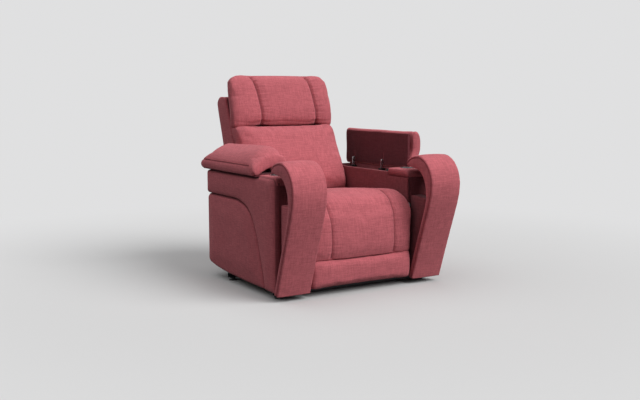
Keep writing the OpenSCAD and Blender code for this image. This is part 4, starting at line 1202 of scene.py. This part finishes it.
@dataclass
class Scroll:
    """The padded strip that rises from the floor and hooks over the arm's front."""

    side: Side
    palette: Palette

    # The strip's middle, the way over which its hook's end rounds off, and its rings.
    MIDDLE, END, LAYERS = 386.0, 14.0, 190
    # The strip's y, z and thickness from its hook to its foot, as shares of SIZE.
    SIZE = (147, 647, 60)
    SHARES = ((0.435, 0.934, 0.42), (0.28, 0.969, 0.8), (0.04, 0.992, 1), (-0.24, 1, 1.1),
              (-0.51, 0.982, 1.15), (-0.75, 0.94, 1.15), (-0.92, 0.88, 1.1), (-1, 0.811, 1),
              (-0.993, 0.742, 0.85), (-0.925, 0.665, 0.66), (-0.78, 0.564, 0.56), (-0.59, 0.44, 0.55),
              (-0.34, 0.275, 0.55), (-0.05, 0.077, 0.55))
    # Where the welt lies: across and below the face. Its radius, and where it starts along the strip.
    WELT_ACROSS, WELT_BELOW, WELT_RADIUS, WELT_START = 87.4, 8.4, 2.3, 10.0

    @classmethod
    def curve(cls, count: int) -> np.ndarray:
        """Returns the strip's outer curve as rows of y, z, thickness and outward y and z."""
        rows = [tuple(share * size for share, size in zip(shares, cls.SIZE)) for shares in cls.SHARES]
        line = spline([*rows, (0, FLOOR_GAP, 33)], count)
        run = np.gradient(line[:, :2], axis=0)
        run /= np.linalg.norm(run, axis=1, keepdims=True)
        return np.hstack([line, np.stack([run[:, 1], -run[:, 0]], axis=1)])

    def _ring(self, thick: float, along: float) -> tuple[np.ndarray, np.ndarray]:
        """Returns one ring as rows of (across, outward), and the shade painted at each point.

        Args:
            thick: the strip's thickness there.
            along: the way from the hook's end, for the puckers.
        Returns:
            The ring: face, rolled edge, welt's valley, side and back, then the other half mirrored.
        """
        face = np.linspace(0, 82, 15)
        pucker = 0.7 * math.sin(along * 0.11 + 0.4) + 0.5 * math.sin(along * 0.23 + 2.0)
        ridge = 4.2 * (1 - (face / 86) ** 2.6) + pucker * np.exp(-(86 - face) / 16)
        turn = np.radians([18, 40, 62, 82])
        roll = np.stack([82 + 6.4 * np.sin(turn), -6.4 + 6.4 * np.cos(turn) + ridge[-1] * 0.6], axis=1)
        valley = np.array([[88.2, -7.6], [87.2, -9.2], [87.0, -10.4], [87.9, -12.0]])
        t = np.linspace(0, 1, 8)[1:]
        side = np.stack([88.6 + 2.0 * np.sin(math.pi * t) + 0.35 * pucker, -13 - (thick - 19) * t], axis=1)
        back = np.array([[88.2, -(thick - 3.2)], [86.4, -(thick - 0.8)], [83.5, -thick], [60, -thick],
                         [30, -thick], [0, -thick]])
        half = np.vstack([np.stack([face, ridge], axis=1), roll, valley, side, back])
        dark = np.zeros(len(half))
        start = len(face) + len(roll)
        # Shade painted into the welt's valley and over the back.
        dark[start:start + len(valley)] = (0.6, 1, 1, 0.6)
        dark[-4:] = 1
        other = half[1:-1][::-1] * [-1, 1]
        return np.vstack([half, other]), np.concatenate([dark, dark[1:-1][::-1]])

    def build(self) -> None:
        """Makes the strip with its welts."""
        line = self.curve(self.LAYERS)
        rings, painted_shades, welts = [], [], ([], [])
        for (y, z, thick, ny, nz), along in zip(line, lengths(line[:, :2])):
            ring, dark = self._ring(thick, along)
            keep = math.sqrt(max(1 - (1 - min(along / self.END, 1)) ** 2, 0.0))
            across = ring[:, 0] * (1 - 0.09 * (1 - keep))
            out = -thick / 2 + (ring[:, 1] + thick / 2) * max(keep, 0.12)
            rings.append(np.column_stack([across + self.MIDDLE, y + ny * out, z + nz * out]))
            painted_shades.append(dark)
            if along > self.WELT_START:
                for welt, x in zip(welts, (self.MIDDLE + self.WELT_ACROSS, self.MIDDLE - self.WELT_ACROSS)):
                    welt.append((x, y - ny * self.WELT_BELOW, z - nz * self.WELT_BELOW))
        rings = np.array(rings)
        rings[-1][:, 2] = np.maximum(rings[-1][:, 2], FLOOR_GAP)
        shape = skinned(rings)
        # The painted shade of every ring, then none at the hook's end and full at the foot.
        shape.seam = np.concatenate([*painted_shades, [0, 1]])
        name = f"scroll_{self.side.word}"
        obj = self.side.apply(shape).object(f"{name}_cover", self.palette["rose_fabric"])
        Piece(name, "base", stands_for=[name], fill=0.7).place(obj)
        right, left = (tube(np.array(welt), self.WELT_RADIUS) for welt in welts)
        # The welts take the cloth painted darker, which paints the shade along them.
        obj = self.side.apply(right.joined(left)).object(f"{name}_welt", self.palette["welt_fabric"])
        Piece(f"{name}_welt", "base").place(obj)


@dataclass
class Lid:
    """A puffed lid, higher on its inner side, with a boxed edge whose seam falls to the front corner.

    Each row of RINGS gives how far the outer, inner, front and rear sides lie inside the lid's
    outline, and the height above its underside.
    """

    side: Side
    palette: Palette

    RINGS = ((13, 13, 13, 13, 1.5), (4, 4, 4, 4, 7), (0, 0, 0, 0, 20), (1, 1, 0, 2, 35),
             (6, 3, 2, 8, 49), (14, 4, 6, 15, 62), (29, 6, 14, 22, 79), (52, 11, 28, 31, 96),
             (79, 20, 50, 42, 110), (106, 34, 78, 56, 121), (127, 50, 106, 70, 127))
    # Points on a corner's arc and in a whole ring, and the number of rings.
    ARC, ROUND, LAYERS = 9, 220, 72
    # Radius of the soft corners and of the sharp one at the foot, and their growth with the outer inset.
    SOFT, SHARP = (22, 1.6), (7, 2.4)
    # The height of the crest at the rear over the front.
    CREST = 9
    WELT_RADIUS, WELT_ABOVE = 1.8, 3.0
    # The open lid's angle, how much wider it is at its foot, and the share by which it is puffed less
    # above a height.
    OPEN_ANGLE, OPEN_WIDER, OPEN_FLATTER, OPEN_ABOVE = 90, 6, 0.3, 30

    def _ring(self, sizes: Sequence[float]) -> np.ndarray:
        """Returns a rounded rectangle of points at one height, for a row like those of RINGS.

        Args:
            sizes: a row like those of RINGS.
        Returns:
            The ring.
        """
        outer, inner, front, rear, height = sizes
        x0, x1, y0, y1 = LID_IN + inner, LID_OUT - outer, LID_FRONT + front, LID_REAR - rear
        most = min((x1 - x0) / 2, (y1 - y0) / 2) - 0.4
        soft, sharp = (min(radius + growth * outer, most) for radius, growth in (self.SOFT, self.SHARP))
        points = []
        corners_at = ((x1, y1, 0, soft), (x0, y1, 90, soft), (x0, y0, 180, soft), (x1, y0, 270, sharp))
        for x, y, start, r in corners_at:
            cx, cy = (x - r if x == x1 else x + r), (y - r if y == y1 else y + r)
            for a in np.radians(start + np.linspace(0, 90, self.ARC)):
                points.append((cx + r * math.cos(a), cy + r * math.sin(a)))
        ends = looped(np.array(points))
        run = lengths(ends)
        marks = [0, *run[self.ARC * np.arange(1, 4)], run[-1]]
        at = np.interp(np.linspace(0, 1, self.ROUND, endpoint=False), np.linspace(0, 1, 5), marks)
        out = sampled(at, run, ends)
        return np.column_stack([out, np.full(len(out), LID_LOW + height)])

    @staticmethod
    def seam_height(points: np.ndarray) -> np.ndarray:
        """Returns the height of the boxed edge's seam at each place."""
        fall = np.clip((points[:, 1] - LID_FRONT - 6) / 46, 0, 1)
        return LID_LOW + 6 + (LID_EDGE - 6) * fall

    @staticmethod
    def _front(points: np.ndarray) -> np.ndarray:
        """Lifts the front end's lower edge away from its outer corner."""
        near = smooth(-points[:, 1], -LID_FRONT - 90, -LID_FRONT - 12)
        inward = smooth(LID_OUT - points[:, 0], 8, 105)
        low = 1 - smooth(points[:, 2] - LID_LOW, 46, 118)
        return points + (near * inward * low)[:, None] * [0, 10, 34]

    def _rings(self) -> np.ndarray:
        """Returns the lid's rings. The right lid, shown open, is wider at its foot and less puffed."""
        table = spline(self.RINGS, self.LAYERS)
        if self.side is Side.RIGHT:
            table[:, 0] -= self.OPEN_WIDER * (1 - smooth(table[:, 4], 8, 60))
            table[:, 4] -= self.OPEN_FLATTER * np.clip(table[:, 4] - self.OPEN_ABOVE, 0, None)
        rings = np.array([self._ring(sizes) for sizes in table])
        crest = smooth(-rings[..., 1], -740, -320) * smooth(rings[..., 2], LID_LOW + 60, LID_LOW + 112)
        rings[..., 2] += self.CREST * crest
        return rings

    def _shape(self, rings: np.ndarray) -> Shape:
        """Returns the closed pad with its boxed edge's seam and slow waves, with shade painted along the seam
        and under the pad.

        Args:
            rings: the rings of _rings.
        Returns:
            The pad, in its closed place.
        """
        shape = skinned(rings)
        points = shape.points
        x, y, z = points.T
        edge = self.seam_height(points)
        near = np.minimum(x - LID_IN, LID_OUT - x)
        sides = np.maximum(1 - smooth(near, 8, 26), 1 - smooth(LID_REAR - y, 10, 32))
        depth, dark = groove(z - edge, deep=4.0, narrow=3.4, wide=9.0)
        pucker = ripples(y, (0.9, 0.19, 0), (0.6, 0.37, 1.1))
        above = np.exp(-np.abs(z - edge - 9) / 9) * (z > edge)
        out = points - [(LID_IN + LID_OUT) / 2, (LID_FRONT + LID_REAR) / 2, LID_LOW + 40]
        out[:, 1] *= 0.15
        out /= np.maximum(np.linalg.norm(out, axis=1, keepdims=True), 1e-6)
        wave = np.sin(y * 0.021 + 0.6) * np.sin(x * 0.035)
        points = points + out * ((-depth + pucker * above * 0.6) * sides + 1.2 * wave)[:, None]
        # Painted shade: full under the pad except near its front, and along the boxed edge's seam.
        under = np.where(points[:, 1] < LID_FRONT + 45, 0.15, 1.0)
        shape.seam = np.where(points[:, 2] < LID_LOW + 3, under, dark * sides)
        shape.points = self._front(points)
        return shape

    def _welt(self, rings: np.ndarray) -> Shape:
        """Returns the welt on the surface, a little above the seam.

        Args:
            rings: the rings of _rings.
        Returns:
            The welt, in its closed place.
        """
        base = rings[np.argmin(np.abs(rings[:, 0, 2] - LID_LOW - 20))]
        ring = np.array([sampled(np.array([height]), column[:, 2], column)[0] for height, column in
                         zip(self.seam_height(base) + self.WELT_ABOVE, rings.transpose(1, 0, 2))])
        start, end = (int(np.argmin(np.hypot(base[:, 0] - x, base[:, 1] - y))) for x, y in
                      ((LID_OUT - 3, LID_FRONT + 3), (LID_IN + 8, LID_FRONT + 40)))
        order = [(start + k) % len(ring) for k in range((end - start) % len(ring) + 1)]
        return tube(self._front(ring[order]), self.WELT_RADIUS)

    def build(self) -> None:
        """Makes the lid and its welt."""
        rings = self._rings()
        name, body = f"lid_pad_{self.side.word}", f"lid_{self.side.word}"
        shape, welt = self._shape(rings), self._welt(rings)
        if self.side is Side.RIGHT:
            shape, welt = shape.turned(LID_PIN, self.OPEN_ANGLE), welt.turned(LID_PIN, self.OPEN_ANGLE)
        obj = self.side.apply(shape).object(f"{name}_cover", self.palette["rose_fabric"])
        Piece(name, body, stands_for=[name], fill=0.8).place(obj)
        obj = self.side.apply(welt).object(f"lid_welt_{self.side.word}", self.palette["rose_fabric"])
        Piece(f"lid_welt_{self.side.word}", body).place(obj)


@dataclass
class Cushion:
    """A filled cushion of the chair's whole width. Each kind brings its own hold, seams and size."""

    palette: Palette

    def _hold(self, points: np.ndarray) -> np.ndarray:
        """Returns each point's hold in the swelling. Nothing is held unless a kind says so."""
        return np.zeros(len(points))

    def _carve(self, points: np.ndarray, normals: np.ndarray) -> tuple[np.ndarray, np.ndarray]:
        """Returns an inward depth and a painted-shade value for each point."""
        raise NotImplementedError

    def _swelled(self, name: str, shape: Shape, filling: Inflation, **box: float) -> bpy.types.Object:
        """Makes a cushion's object and fills it.

        Args:
            name: the object's name.
            shape: the closed form.
            filling: how it is filled.
            box: the half, low and high that Inflation.run takes.
        Returns:
            The object, still without its seams.
        """
        obj = shape.object(name, self.palette["rose_fabric"])
        filling.run(obj, self._hold, **box)
        return obj

    def _sewn(self, obj: bpy.types.Object) -> bpy.types.Object:
        """Carves a cushion's seams, paints shade along them and gives it its fabric."""
        points, normals = get_points(obj.data), rows_of(obj.data, "normal")
        depth, seam = self._carve(points, normals)
        set_points(obj.data, points - normals * depth[:, None])
        dress(obj, self.palette["rose_fabric"], seam)
        return obj


class SeatCover(Cushion):
    """The cover over the seat cushion that runs down over the upper footrest pad."""

    HALF, CHANNEL = 286.0, 184.0
    # Front y and z, back y and z, and how deep the sides round off, from the rear to the lower edge.
    ROWS = ((571, 432, 571, 381, 60), (481.6, 446.9, 481.6, 381, 60), (380.8, 457.9, 380.8, 381, 60),
            (280, 466, 280, 381, 60), (190.4, 473.2, 190.4, 381, 60), (117.6, 478, 117.6, 381, 60),
            (75.6, 476, 85, 381, 60), (47.6, 464.6, 66, 381, 58), (25.2, 444.5, 54, 382, 55),
            (12, 420.6, 47.5, 386, 50), (5, 398, 43.5, 388, 46), (1, 374, 42.3, 374, 42),
            (-3.4, 344, 42.3, 344, 40), (-8.4, 296, 42.3, 296, 40), (-9.2, 248, 42.3, 248, 40),
            (-7.5, 200, 42.3, 200, 40), (-3.5, 173, 42.3, 173, 40))
    STATIONS = ((0, -0.11), (0.3, -0.09), (0.5, -0.06), (0.66, -0.03), (0.76, -0.01), (0.86, 0.01),
                (0.93, 0.09), (0.97, 0.22), (1, 0.46))

    def _hold(self, points: np.ndarray) -> np.ndarray:
        """Holds the underside and the hem."""
        under = (points[:, 1] > 60) & (points[:, 2] < 396)
        behind = (points[:, 1] > 34) & (points[:, 2] < 380)
        hem = smooth(-points[:, 2], -196, -180) * 0.9
        return np.maximum(np.where(under | behind, 1.0, 0.0), hem)

    def _carve(self, points: np.ndarray, normals: np.ndarray) -> tuple[np.ndarray, np.ndarray]:
        """Sews the two channels into the top and the front."""
        share = smooth(np.maximum(normals[:, 2], -normals[:, 1] * 1.1), 0.15, 0.55)
        along = np.where(points[:, 2] > 430, points[:, 1], -points[:, 2])
        line = self.CHANNEL + 3 * np.sin(along * 0.008)
        away = np.abs(points[:, 0]) - line
        # Shade painted along the two channels.
        depth, seam = groove(away, deep=11.0, narrow=5.5, wide=22.0, along=along, pucker=1.0)
        wave = np.sin(points[:, 0] * 0.023 + 0.5) * np.sin(points[:, 1] * 0.019 + points[:, 2] * 0.015)
        return (depth + 1.2 * wave) * share, seam * share

    def build(self) -> None:
        """Makes the cover, and fills its lower front corners out over the hinge pins."""
        rows = [(*r, self.HALF) for r in self.ROWS]
        shape = Loft(rows, self.STATIONS, inset=4).shape(n_curve=110, n_across=81)
        obj = self._swelled("seat_cover", shape, Inflation(cap=9.0), half=291.5, low=171.5, high=SEAT_H + 2)
        points = get_points(obj.data)
        corner = smooth(np.abs(points[:, 0]), 256, 281) * np.exp(-((points[:, 2] - PIN_H + 22) / 56) ** 2)
        points[:, 1] -= 21 * corner * (1 - smooth(points[:, 1], 30, 110))
        set_points(obj.data, points)
        self._sewn(obj)
        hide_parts("seat_cushion", "chaise_pad")
        tuple(row([35.5, 66, 430]))
        tuple(row([35.5, 6, 372]))
        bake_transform(obj)
        LOG.info("the seat's cover bends between the seat and the footrest")


class LowerPad(Cushion):
    """The lower footrest pad."""

    ROWS = ((1, 174, 42.3, 172, 36, 285), (-7.5, 160, 42.3, 158, 40, 285), (-11, 130, 42.3, 130, 40, 286),
            (-10, 90, 42.3, 90, 40, 286), (-7.6, 58, 42.3, 58, 40, 285), (4.2, 40, 42.3, 40, 36, 284))
    STATIONS = ((0, -0.05), (0.6, -0.03), (0.9, 0.05), (0.97, 0.2), (1, 0.5))

    def build(self) -> None:
        """Makes the pad."""
        loft = Loft(self.ROWS, self.STATIONS, inset=3, corner_low=9, corner_high=9)
        obj = self._swelled("footrest_lower_cover", loft.shape(n_curve=44, n_across=71),
                            Inflation(voxel=5.5, cap=6.0), half=288.0, low=38.0, high=174.0)
        name = "footrest_lower_pad"
        Piece(name, "footrest", stands_for=[name], fill=0.6).place(self._sewn(obj))

    def _hold(self, points: np.ndarray) -> np.ndarray:
        """Holds the rear."""
        return np.where(points[:, 1] > 34, 1.0, 0.0)

    def _carve(self, points: np.ndarray, normals: np.ndarray) -> tuple[np.ndarray, np.ndarray]:
        """Adds slow waves to the front."""
        wave = np.sin(points[:, 0] * 0.03 + 0.5) * np.sin(points[:, 2] * 0.05)
        return 0.8 * wave * smooth(-normals[:, 1], 0.2, 0.6), np.zeros(len(points))


class BackCushion(Cushion):
    """The lumbar cushion between the seat and the headrest."""

    # The front and the rear curve, as y and z in shares of BACK_PIN_Y and BACK_TOP.
    FACE = ((0.94, 0.57), (0.926, 0.6), (0.922, 0.633), (0.938, 0.68), (0.975, 0.75), (1.02, 0.82),
            (1.07, 0.89), (1.12, 0.958), (1.16, 1.0), (1.215, 1.018))
    REAR = ((1.032, 0.535), (1.044, 0.56), (1.064, 0.6), (1.093, 0.66), (1.13, 0.735), (1.166, 0.81),
            (1.203, 0.885), (1.232, 0.95), (1.25, 0.985), (1.262, 1.004))
    STATIONS = ((0, -0.14), (0.35, -0.12), (0.65, -0.06), (0.82, 0.0), (0.9, 0.12), (0.96, 0.34), (1, 0.8))
    CURVE_POINTS = 76

    def build(self) -> None:
        """Makes the cushion, with its upper corners drawn back."""
        face, back = (np.array(curve) * [BACK_PIN_Y, BACK_TOP] for curve in (self.FACE, self.REAR))
        edge = np.interp(face[:, 1], [520, 640], [24, 38])
        half = np.interp(face[:, 1], [550, 620, 680, 730], [287, 291, 294, 299])
        rows = np.column_stack([face, back, edge, half])
        loft = Loft(rows, self.STATIONS, back_share=0.1, inset=4, corner_high=20)
        shape = loft.shape(self.CURVE_POINTS, n_across=75)
        high = smooth(shape.points[:, 2], 560, 690)
        rear = np.arange(len(shape.points)) % (2 * self.CURVE_POINTS) >= self.CURVE_POINTS
        shape.points[:, 1] += 40 * smooth(np.abs(shape.points[:, 0]), 225, 280) * high * rear
        shape.points[:, 1] += 22 * (np.abs(shape.points[:, 0]) / 299) ** 5 * high
        obj = self._swelled("back_cushion_cover", shape, Inflation(cap=9.0),
                            half=299.0, low=408.0, high=777.0)
        Piece("back_cushion", "back", stands_for=["back_cushion"], fill=0.7).place(self._sewn(obj))

    def _hold(self, points: np.ndarray) -> np.ndarray:
        """Holds the rear and the sides."""
        back = np.array(self.REAR) * [BACK_PIN_Y, BACK_TOP]
        rear = np.interp(points[:, 2], back[:, 1], back[:, 0])
        return np.where((points[:, 1] > rear - 14) | (np.abs(points[:, 0]) > 286), 1.0, 0.0)

    def _carve(self, points: np.ndarray, normals: np.ndarray) -> tuple[np.ndarray, np.ndarray]:
        """Adds slow waves to the front and small folds near the top."""
        share = smooth(-normals[:, 1], 0.1, 0.5)
        wave = np.sin(points[:, 0] * 0.02 + 0.9) * np.sin(points[:, 2] * 0.024 + 0.4)
        fold = np.sin(points[:, 0] * 0.075 + points[:, 2] * 0.03) * np.exp(-(BACK_TOP - points[:, 2]) / 26)
        return (1.6 * wave + 1.1 * fold) * share, np.zeros(len(points))


class Headrest(Cushion):
    """The headrest with three puffed sections between two curved pleats."""

    # The front and the rear curve: y in shares of HEAD_REAR, and the share of the way up.
    FRONT = ((0.868, -0.024), (0.853, 0.03), (0.85, 0.14), (0.855, 0.3), (0.867, 0.45), (0.883, 0.6),
             (0.902, 0.76), (0.922, 0.88), (0.94, 0.955), (0.958, 0.992))
    REAR = ((0.92, -0.024), (0.93, 0.03), (0.937, 0.14), (0.947, 0.3), (0.957, 0.45), (0.967, 0.6),
            (0.977, 0.76), (0.985, 0.86), (0.988, 0.92), (0.984, 0.97))
    STATIONS = ((0, -0.22), (0.3, -0.2), (0.55, -0.14), (0.75, -0.12), (0.88, -0.06), (0.95, 0.04),
                (1, 0.3))
    # Heights, and the x of the two pleats at each.
    PLEATS = ((HEAD_LOW, -140, 201), (850, -140, 202), (960, -150, 190), (HEAD_TOP, -163, 177))

    @staticmethod
    def _curve(shares: Sequence) -> np.ndarray:
        """Returns a curve's y and z."""
        return np.array(shares) * [HEAD_REAR, HEAD_RISE] + [0, HEAD_LOW]

    def build(self) -> None:
        """Makes the headrest."""
        size = np.full((len(self.FRONT), 2), [40, HEAD_HALF + 2])
        rows = np.column_stack([self._curve(self.FRONT), self._curve(self.REAR), size])
        loft = Loft(rows, self.STATIONS, back_share=0.25, inset=4, corner_low=20, corner_high=84)
        shape = loft.shape(n_curve=70, n_across=91)
        obj = self._swelled("headrest_cover", shape, Inflation(voxel=6.0, cap=9.0),
                            half=HEAD_HALF + 10, low=HEAD_LOW - 6, high=HEAD_TOP + 8)
        Piece("headrest_pad", "headrest", stands_for=["headrest_pad"], fill=0.75).place(self._sewn(obj))

    def _carve(self, points: np.ndarray, normals: np.ndarray) -> tuple[np.ndarray, np.ndarray]:
        """Sews the two pleats, a line along the lower edge and the boxing's seam at the sides."""
        x, y, z = points.T
        share = smooth(-normals[:, 1], -0.2, 0.3)
        depth, seam = np.zeros(len(points)), np.zeros(len(points))
        heights, *pleats = np.array(self.PLEATS).T
        for pleat in pleats:
            away = x - np.interp(z, heights, pleat)
            d, s = groove(away, deep=20.0, narrow=8.0, wide=34.0, along=z, pucker=1.0)
            depth, seam = depth + d, np.maximum(seam, s)
        away = z - (HEAD_LOW + 24 + 4 * np.cos(x * 0.02))
        roll, dark = groove(away, deep=2.2, narrow=5.0, wide=16.0, along=x, pucker=0.5)
        wave = np.sin(x * 0.026 + 0.2) * np.sin(z * 0.021)
        front = self._curve(self.FRONT)
        edge = np.interp(z, front[:, 1], front[:, 0])
        box, line = groove(y - edge - 26, deep=2.6, narrow=3.0, wide=8.0, along=z, pucker=0.5)
        side = smooth(np.abs(normals[:, 0]), 0.55, 0.85)
        # Shade painted along the pleats, faintly along the lower line, and along the boxing's seam.
        return ((depth + roll + 1.2 * wave) * share * (1 - side) + box * side,
                np.maximum(np.maximum(seam, dark * 0.25) * share * (1 - side), line * side * 0.8))


@dataclass
class BackShell:
    """The upholstered outside back: two side panels and one panel over the top and down the rear."""

    palette: Palette

    HALF, THICK = 287.0, 15.0
    # The panel over the top and down the rear, and the outline of a side panel, as y and z.
    SECTION = ((884, 928), (925, 928), (951, 924), (969, 911), (977, 892), (977, 872), (966, 826),
               (947, 740), (928, 657), (912, 560), (893, 440), (873, 320), (853, 205))
    WING = ((692, 380), (882, 927), (950, 929), (981, 900), (928, 657), (853, 207), (838, 207), (848, 360))
    WING_RADII = (8, 24, 34, 34, 120, 4, 4, 10)
    # Shares of the way down at which two lines are sewn across.
    LINES = (0.36, 0.7)

    def build(self) -> None:
        """Makes the outside back."""
        outline = fillet(self.WING, self.WING_RADII, steps=8)
        side = Panel(outline, self.THICK, rounding=8, crown=2, reach=40, grid=14)
        right = side.shape(lambda p: np.column_stack(
            [self.HALF - self.THICK + p[:, 2] + 10 * smooth(p[:, 1], 640, 900), p[:, 0], p[:, 1]]))
        shape = right.joined(right.mirrored()).joined(self._rear())
        obj = shape.object("back_shell_cover", self.palette["rose_fabric"])
        Piece("back_shell", "back", stands_for=["back_shell"], fill=0.3).place(obj)

    def _rear(self) -> Shape:
        """Returns the panel that follows the section."""
        curve = spline(self.SECTION, 300)
        run = lengths(curve)
        tangent = np.gradient(curve, axis=0)
        tangent /= np.linalg.norm(tangent, axis=1, keepdims=True)
        edge, end = self.HALF - 9, run[-1]
        outline = fillet([(-edge, 0), (edge, 0), (edge, end), (-edge, end)], 3)
        lines = [Crease([(-edge - 5, end * k), (edge + 5, end * k)], deep=4.0, narrow=3.2, wide=16.0)
                 for k in self.LINES]
        panel = Panel(outline, self.THICK, rounding=7, crown=4, reach=60, grid=13, creases=lines)

        def place(p: np.ndarray) -> np.ndarray:
            """Bends the panel along the section."""
            at = np.clip(p[:, 1], 0, end)
            y, z, ty, tz = sampled(at, run, np.hstack([curve, tangent])).T
            out = p[:, 2] - self.THICK
            return np.column_stack([p[:, 0], y - tz * out, z + ty * out])

        return panel.shape(place)


@dataclass
class Hardware:
    """The rigid pieces of the frame, which keep their solids and get their finishes."""

    palette: Palette
    nodes: dict[str, bpy.types.Object]
    slots: dict[str, str]

    def build(self) -> None:
        """Gives each rigid node its material."""
        for name, node in self.nodes.items():
            material = self.palette[self.slots[name]]
            node.data.materials.clear()
            node.data.materials.append(material)
            LOG.info("%s: %s", name, self.slots[name])


class Studio:
    """The camera, lamps, floor and background."""

    PAPER = (0.745, 0.745, 0.75, 1)
    EYE, TARGET = Vector((-2.4433, -3.8749, 0.9682)), Vector((-0.09337, -0.117, 0.41722))
    LENS, SENSOR = 50, 36
    # Each lamp's name, direction, spread in degrees and strength.
    SUNS = (("key", (0.35, -0.66, 0.6), 42, 3.0), ("top", (-0.28, 0.15, 0.93), 90, 1.56))
    SKY, SKY_STRENGTH = (1.0, 1.0, 1.02, 1), 0.14
    # The floor's radius, where it fades into the paper, and its shade in the light and to the camera.
    FLOOR_RADIUS, FADE = 14, (1.2, 3.2)
    FLOOR_SHADES = (0.12, 0.12, 0.12, 1), (0.56, 0.56, 0.56, 1)

    def build(self) -> None:
        """Makes the studio."""
        self._camera()
        self._world()
        self._floor()
        for sun in self.SUNS:
            self._sun(*sun)
        bpy.context.scene.view_settings.view_transform = "Standard"

    @staticmethod
    def _object(name: str, data: bpy.types.ID) -> bpy.types.Object:
        """Makes an object in the scene."""
        made = bpy.data.objects.new(name, data)
        bpy.context.scene.collection.objects.link(made)
        return made

    def _camera(self) -> None:
        """Sets the camera up at the photograph's angle."""
        data = bpy.data.cameras.new("camera")
        data.lens, data.sensor_width, data.sensor_fit = self.LENS, self.SENSOR, "HORIZONTAL"
        camera = self._object("camera", data)
        camera.location = self.EYE
        camera.rotation_euler = (self.TARGET - self.EYE).to_track_quat("-Z", "Y").to_euler()
        bpy.context.scene.camera = camera

    def _sun(self, name: str, towards: Sequence, spread: float, strength: float) -> None:
        """Adds a broad lamp that shines from a direction.

        Args:
            name: its name.
            towards: the direction that it shines from.
            spread: its width in degrees.
            strength: its strength.
        """
        data = bpy.data.lights.new(name, "SUN")
        data.angle, data.energy = math.radians(spread), strength
        self._object(name, data).rotation_euler = Vector(towards).to_track_quat("Z", "Y").to_euler()

    @staticmethod
    def _seen(tree: Tree) -> Socket:
        """Returns 1 for what the camera sees directly, in a mirror or through glass."""
        outputs = tree.node("ShaderNodeLightPath").out.node.outputs
        camera, glossy, through = (Socket(tree, outputs[f"Is {kind} Ray"])
                                   for kind in ("Camera", "Glossy", "Transmission"))
        return (camera + glossy + through).ramp(0.0, 1.0)

    def _world(self) -> None:
        """Lights the chair from all round, behind plain paper that the camera sees."""
        world = bpy.data.worlds.new("studio")
        bpy.context.scene.world = world
        tree = Tree(world)
        dim = tree.node("ShaderNodeBackground", {"Color": self.SKY, "Strength": self.SKY_STRENGTH})
        bright = tree.node("ShaderNodeBackground", {"Color": self.PAPER, "Strength": 1.0})
        mixed = tree.node("ShaderNodeMixShader", {0: self._seen(tree), 1: dim, 2: bright})
        tree.node("ShaderNodeOutputWorld", {"Surface": mixed})

    def _floor(self) -> None:
        """Lays the floor, which fades into the paper away from the chair."""
        bm = bmesh.new()
        bmesh.ops.create_circle(bm, cap_ends=True, segments=96, radius=self.FLOOR_RADIUS)
        mesh = bpy.data.meshes.new("floor")
        bm.to_mesh(mesh)
        bm.free()
        material = bpy.data.materials.new("floor")
        tree = Tree(material)
        x, y, _ = tree.parts(tree.place())
        away = (x * x + y * y) ** 0.5
        lit = tree.node("ShaderNodeBsdfDiffuse", {"Color": tree.mix(self._seen(tree), *self.FLOOR_SHADES)})
        plain = tree.node("ShaderNodeEmission", {"Color": self.PAPER, "Strength": 1.0})
        share = away.ramp(*self.FADE) * self._seen(tree)
        mixed = tree.node("ShaderNodeMixShader", {0: share, 1: lit, 2: plain})
        tree.node("ShaderNodeOutputMaterial", {"Surface": mixed})
        mesh.materials.append(material)
        floor = self._object("floor", mesh)
        floor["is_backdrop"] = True


def corners(bounds: Iterable) -> list[list[float]]:
    """Turns a box into plain lists."""
    return [[float(v) for v in corner] for corner in bounds]


def main() -> None:
    """Builds the whole scene."""
    logging.basicConfig(level=logging.INFO, format="%(name)s: %(message)s")
    packed = corners(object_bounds())
    palette = Palette()
    slots = {s["node"]: s["material_slot"] for s in frame["record"]["subparts"]}
    Hardware(palette, frame["nodes"], slots).build()
    for side in Side:
        Arm(side, palette).build()
        Scroll(side, palette).build()
        Lid(side, palette).build()
    SeatCover(palette).build()
    LowerPad(palette).build()
    BackCushion(palette).build()
    Headrest(palette).build()
    BackShell(palette).build()
    Studio().build()
    {"cad": packed, "visual": corners(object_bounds())}


if __name__ == "__main__":
    main()
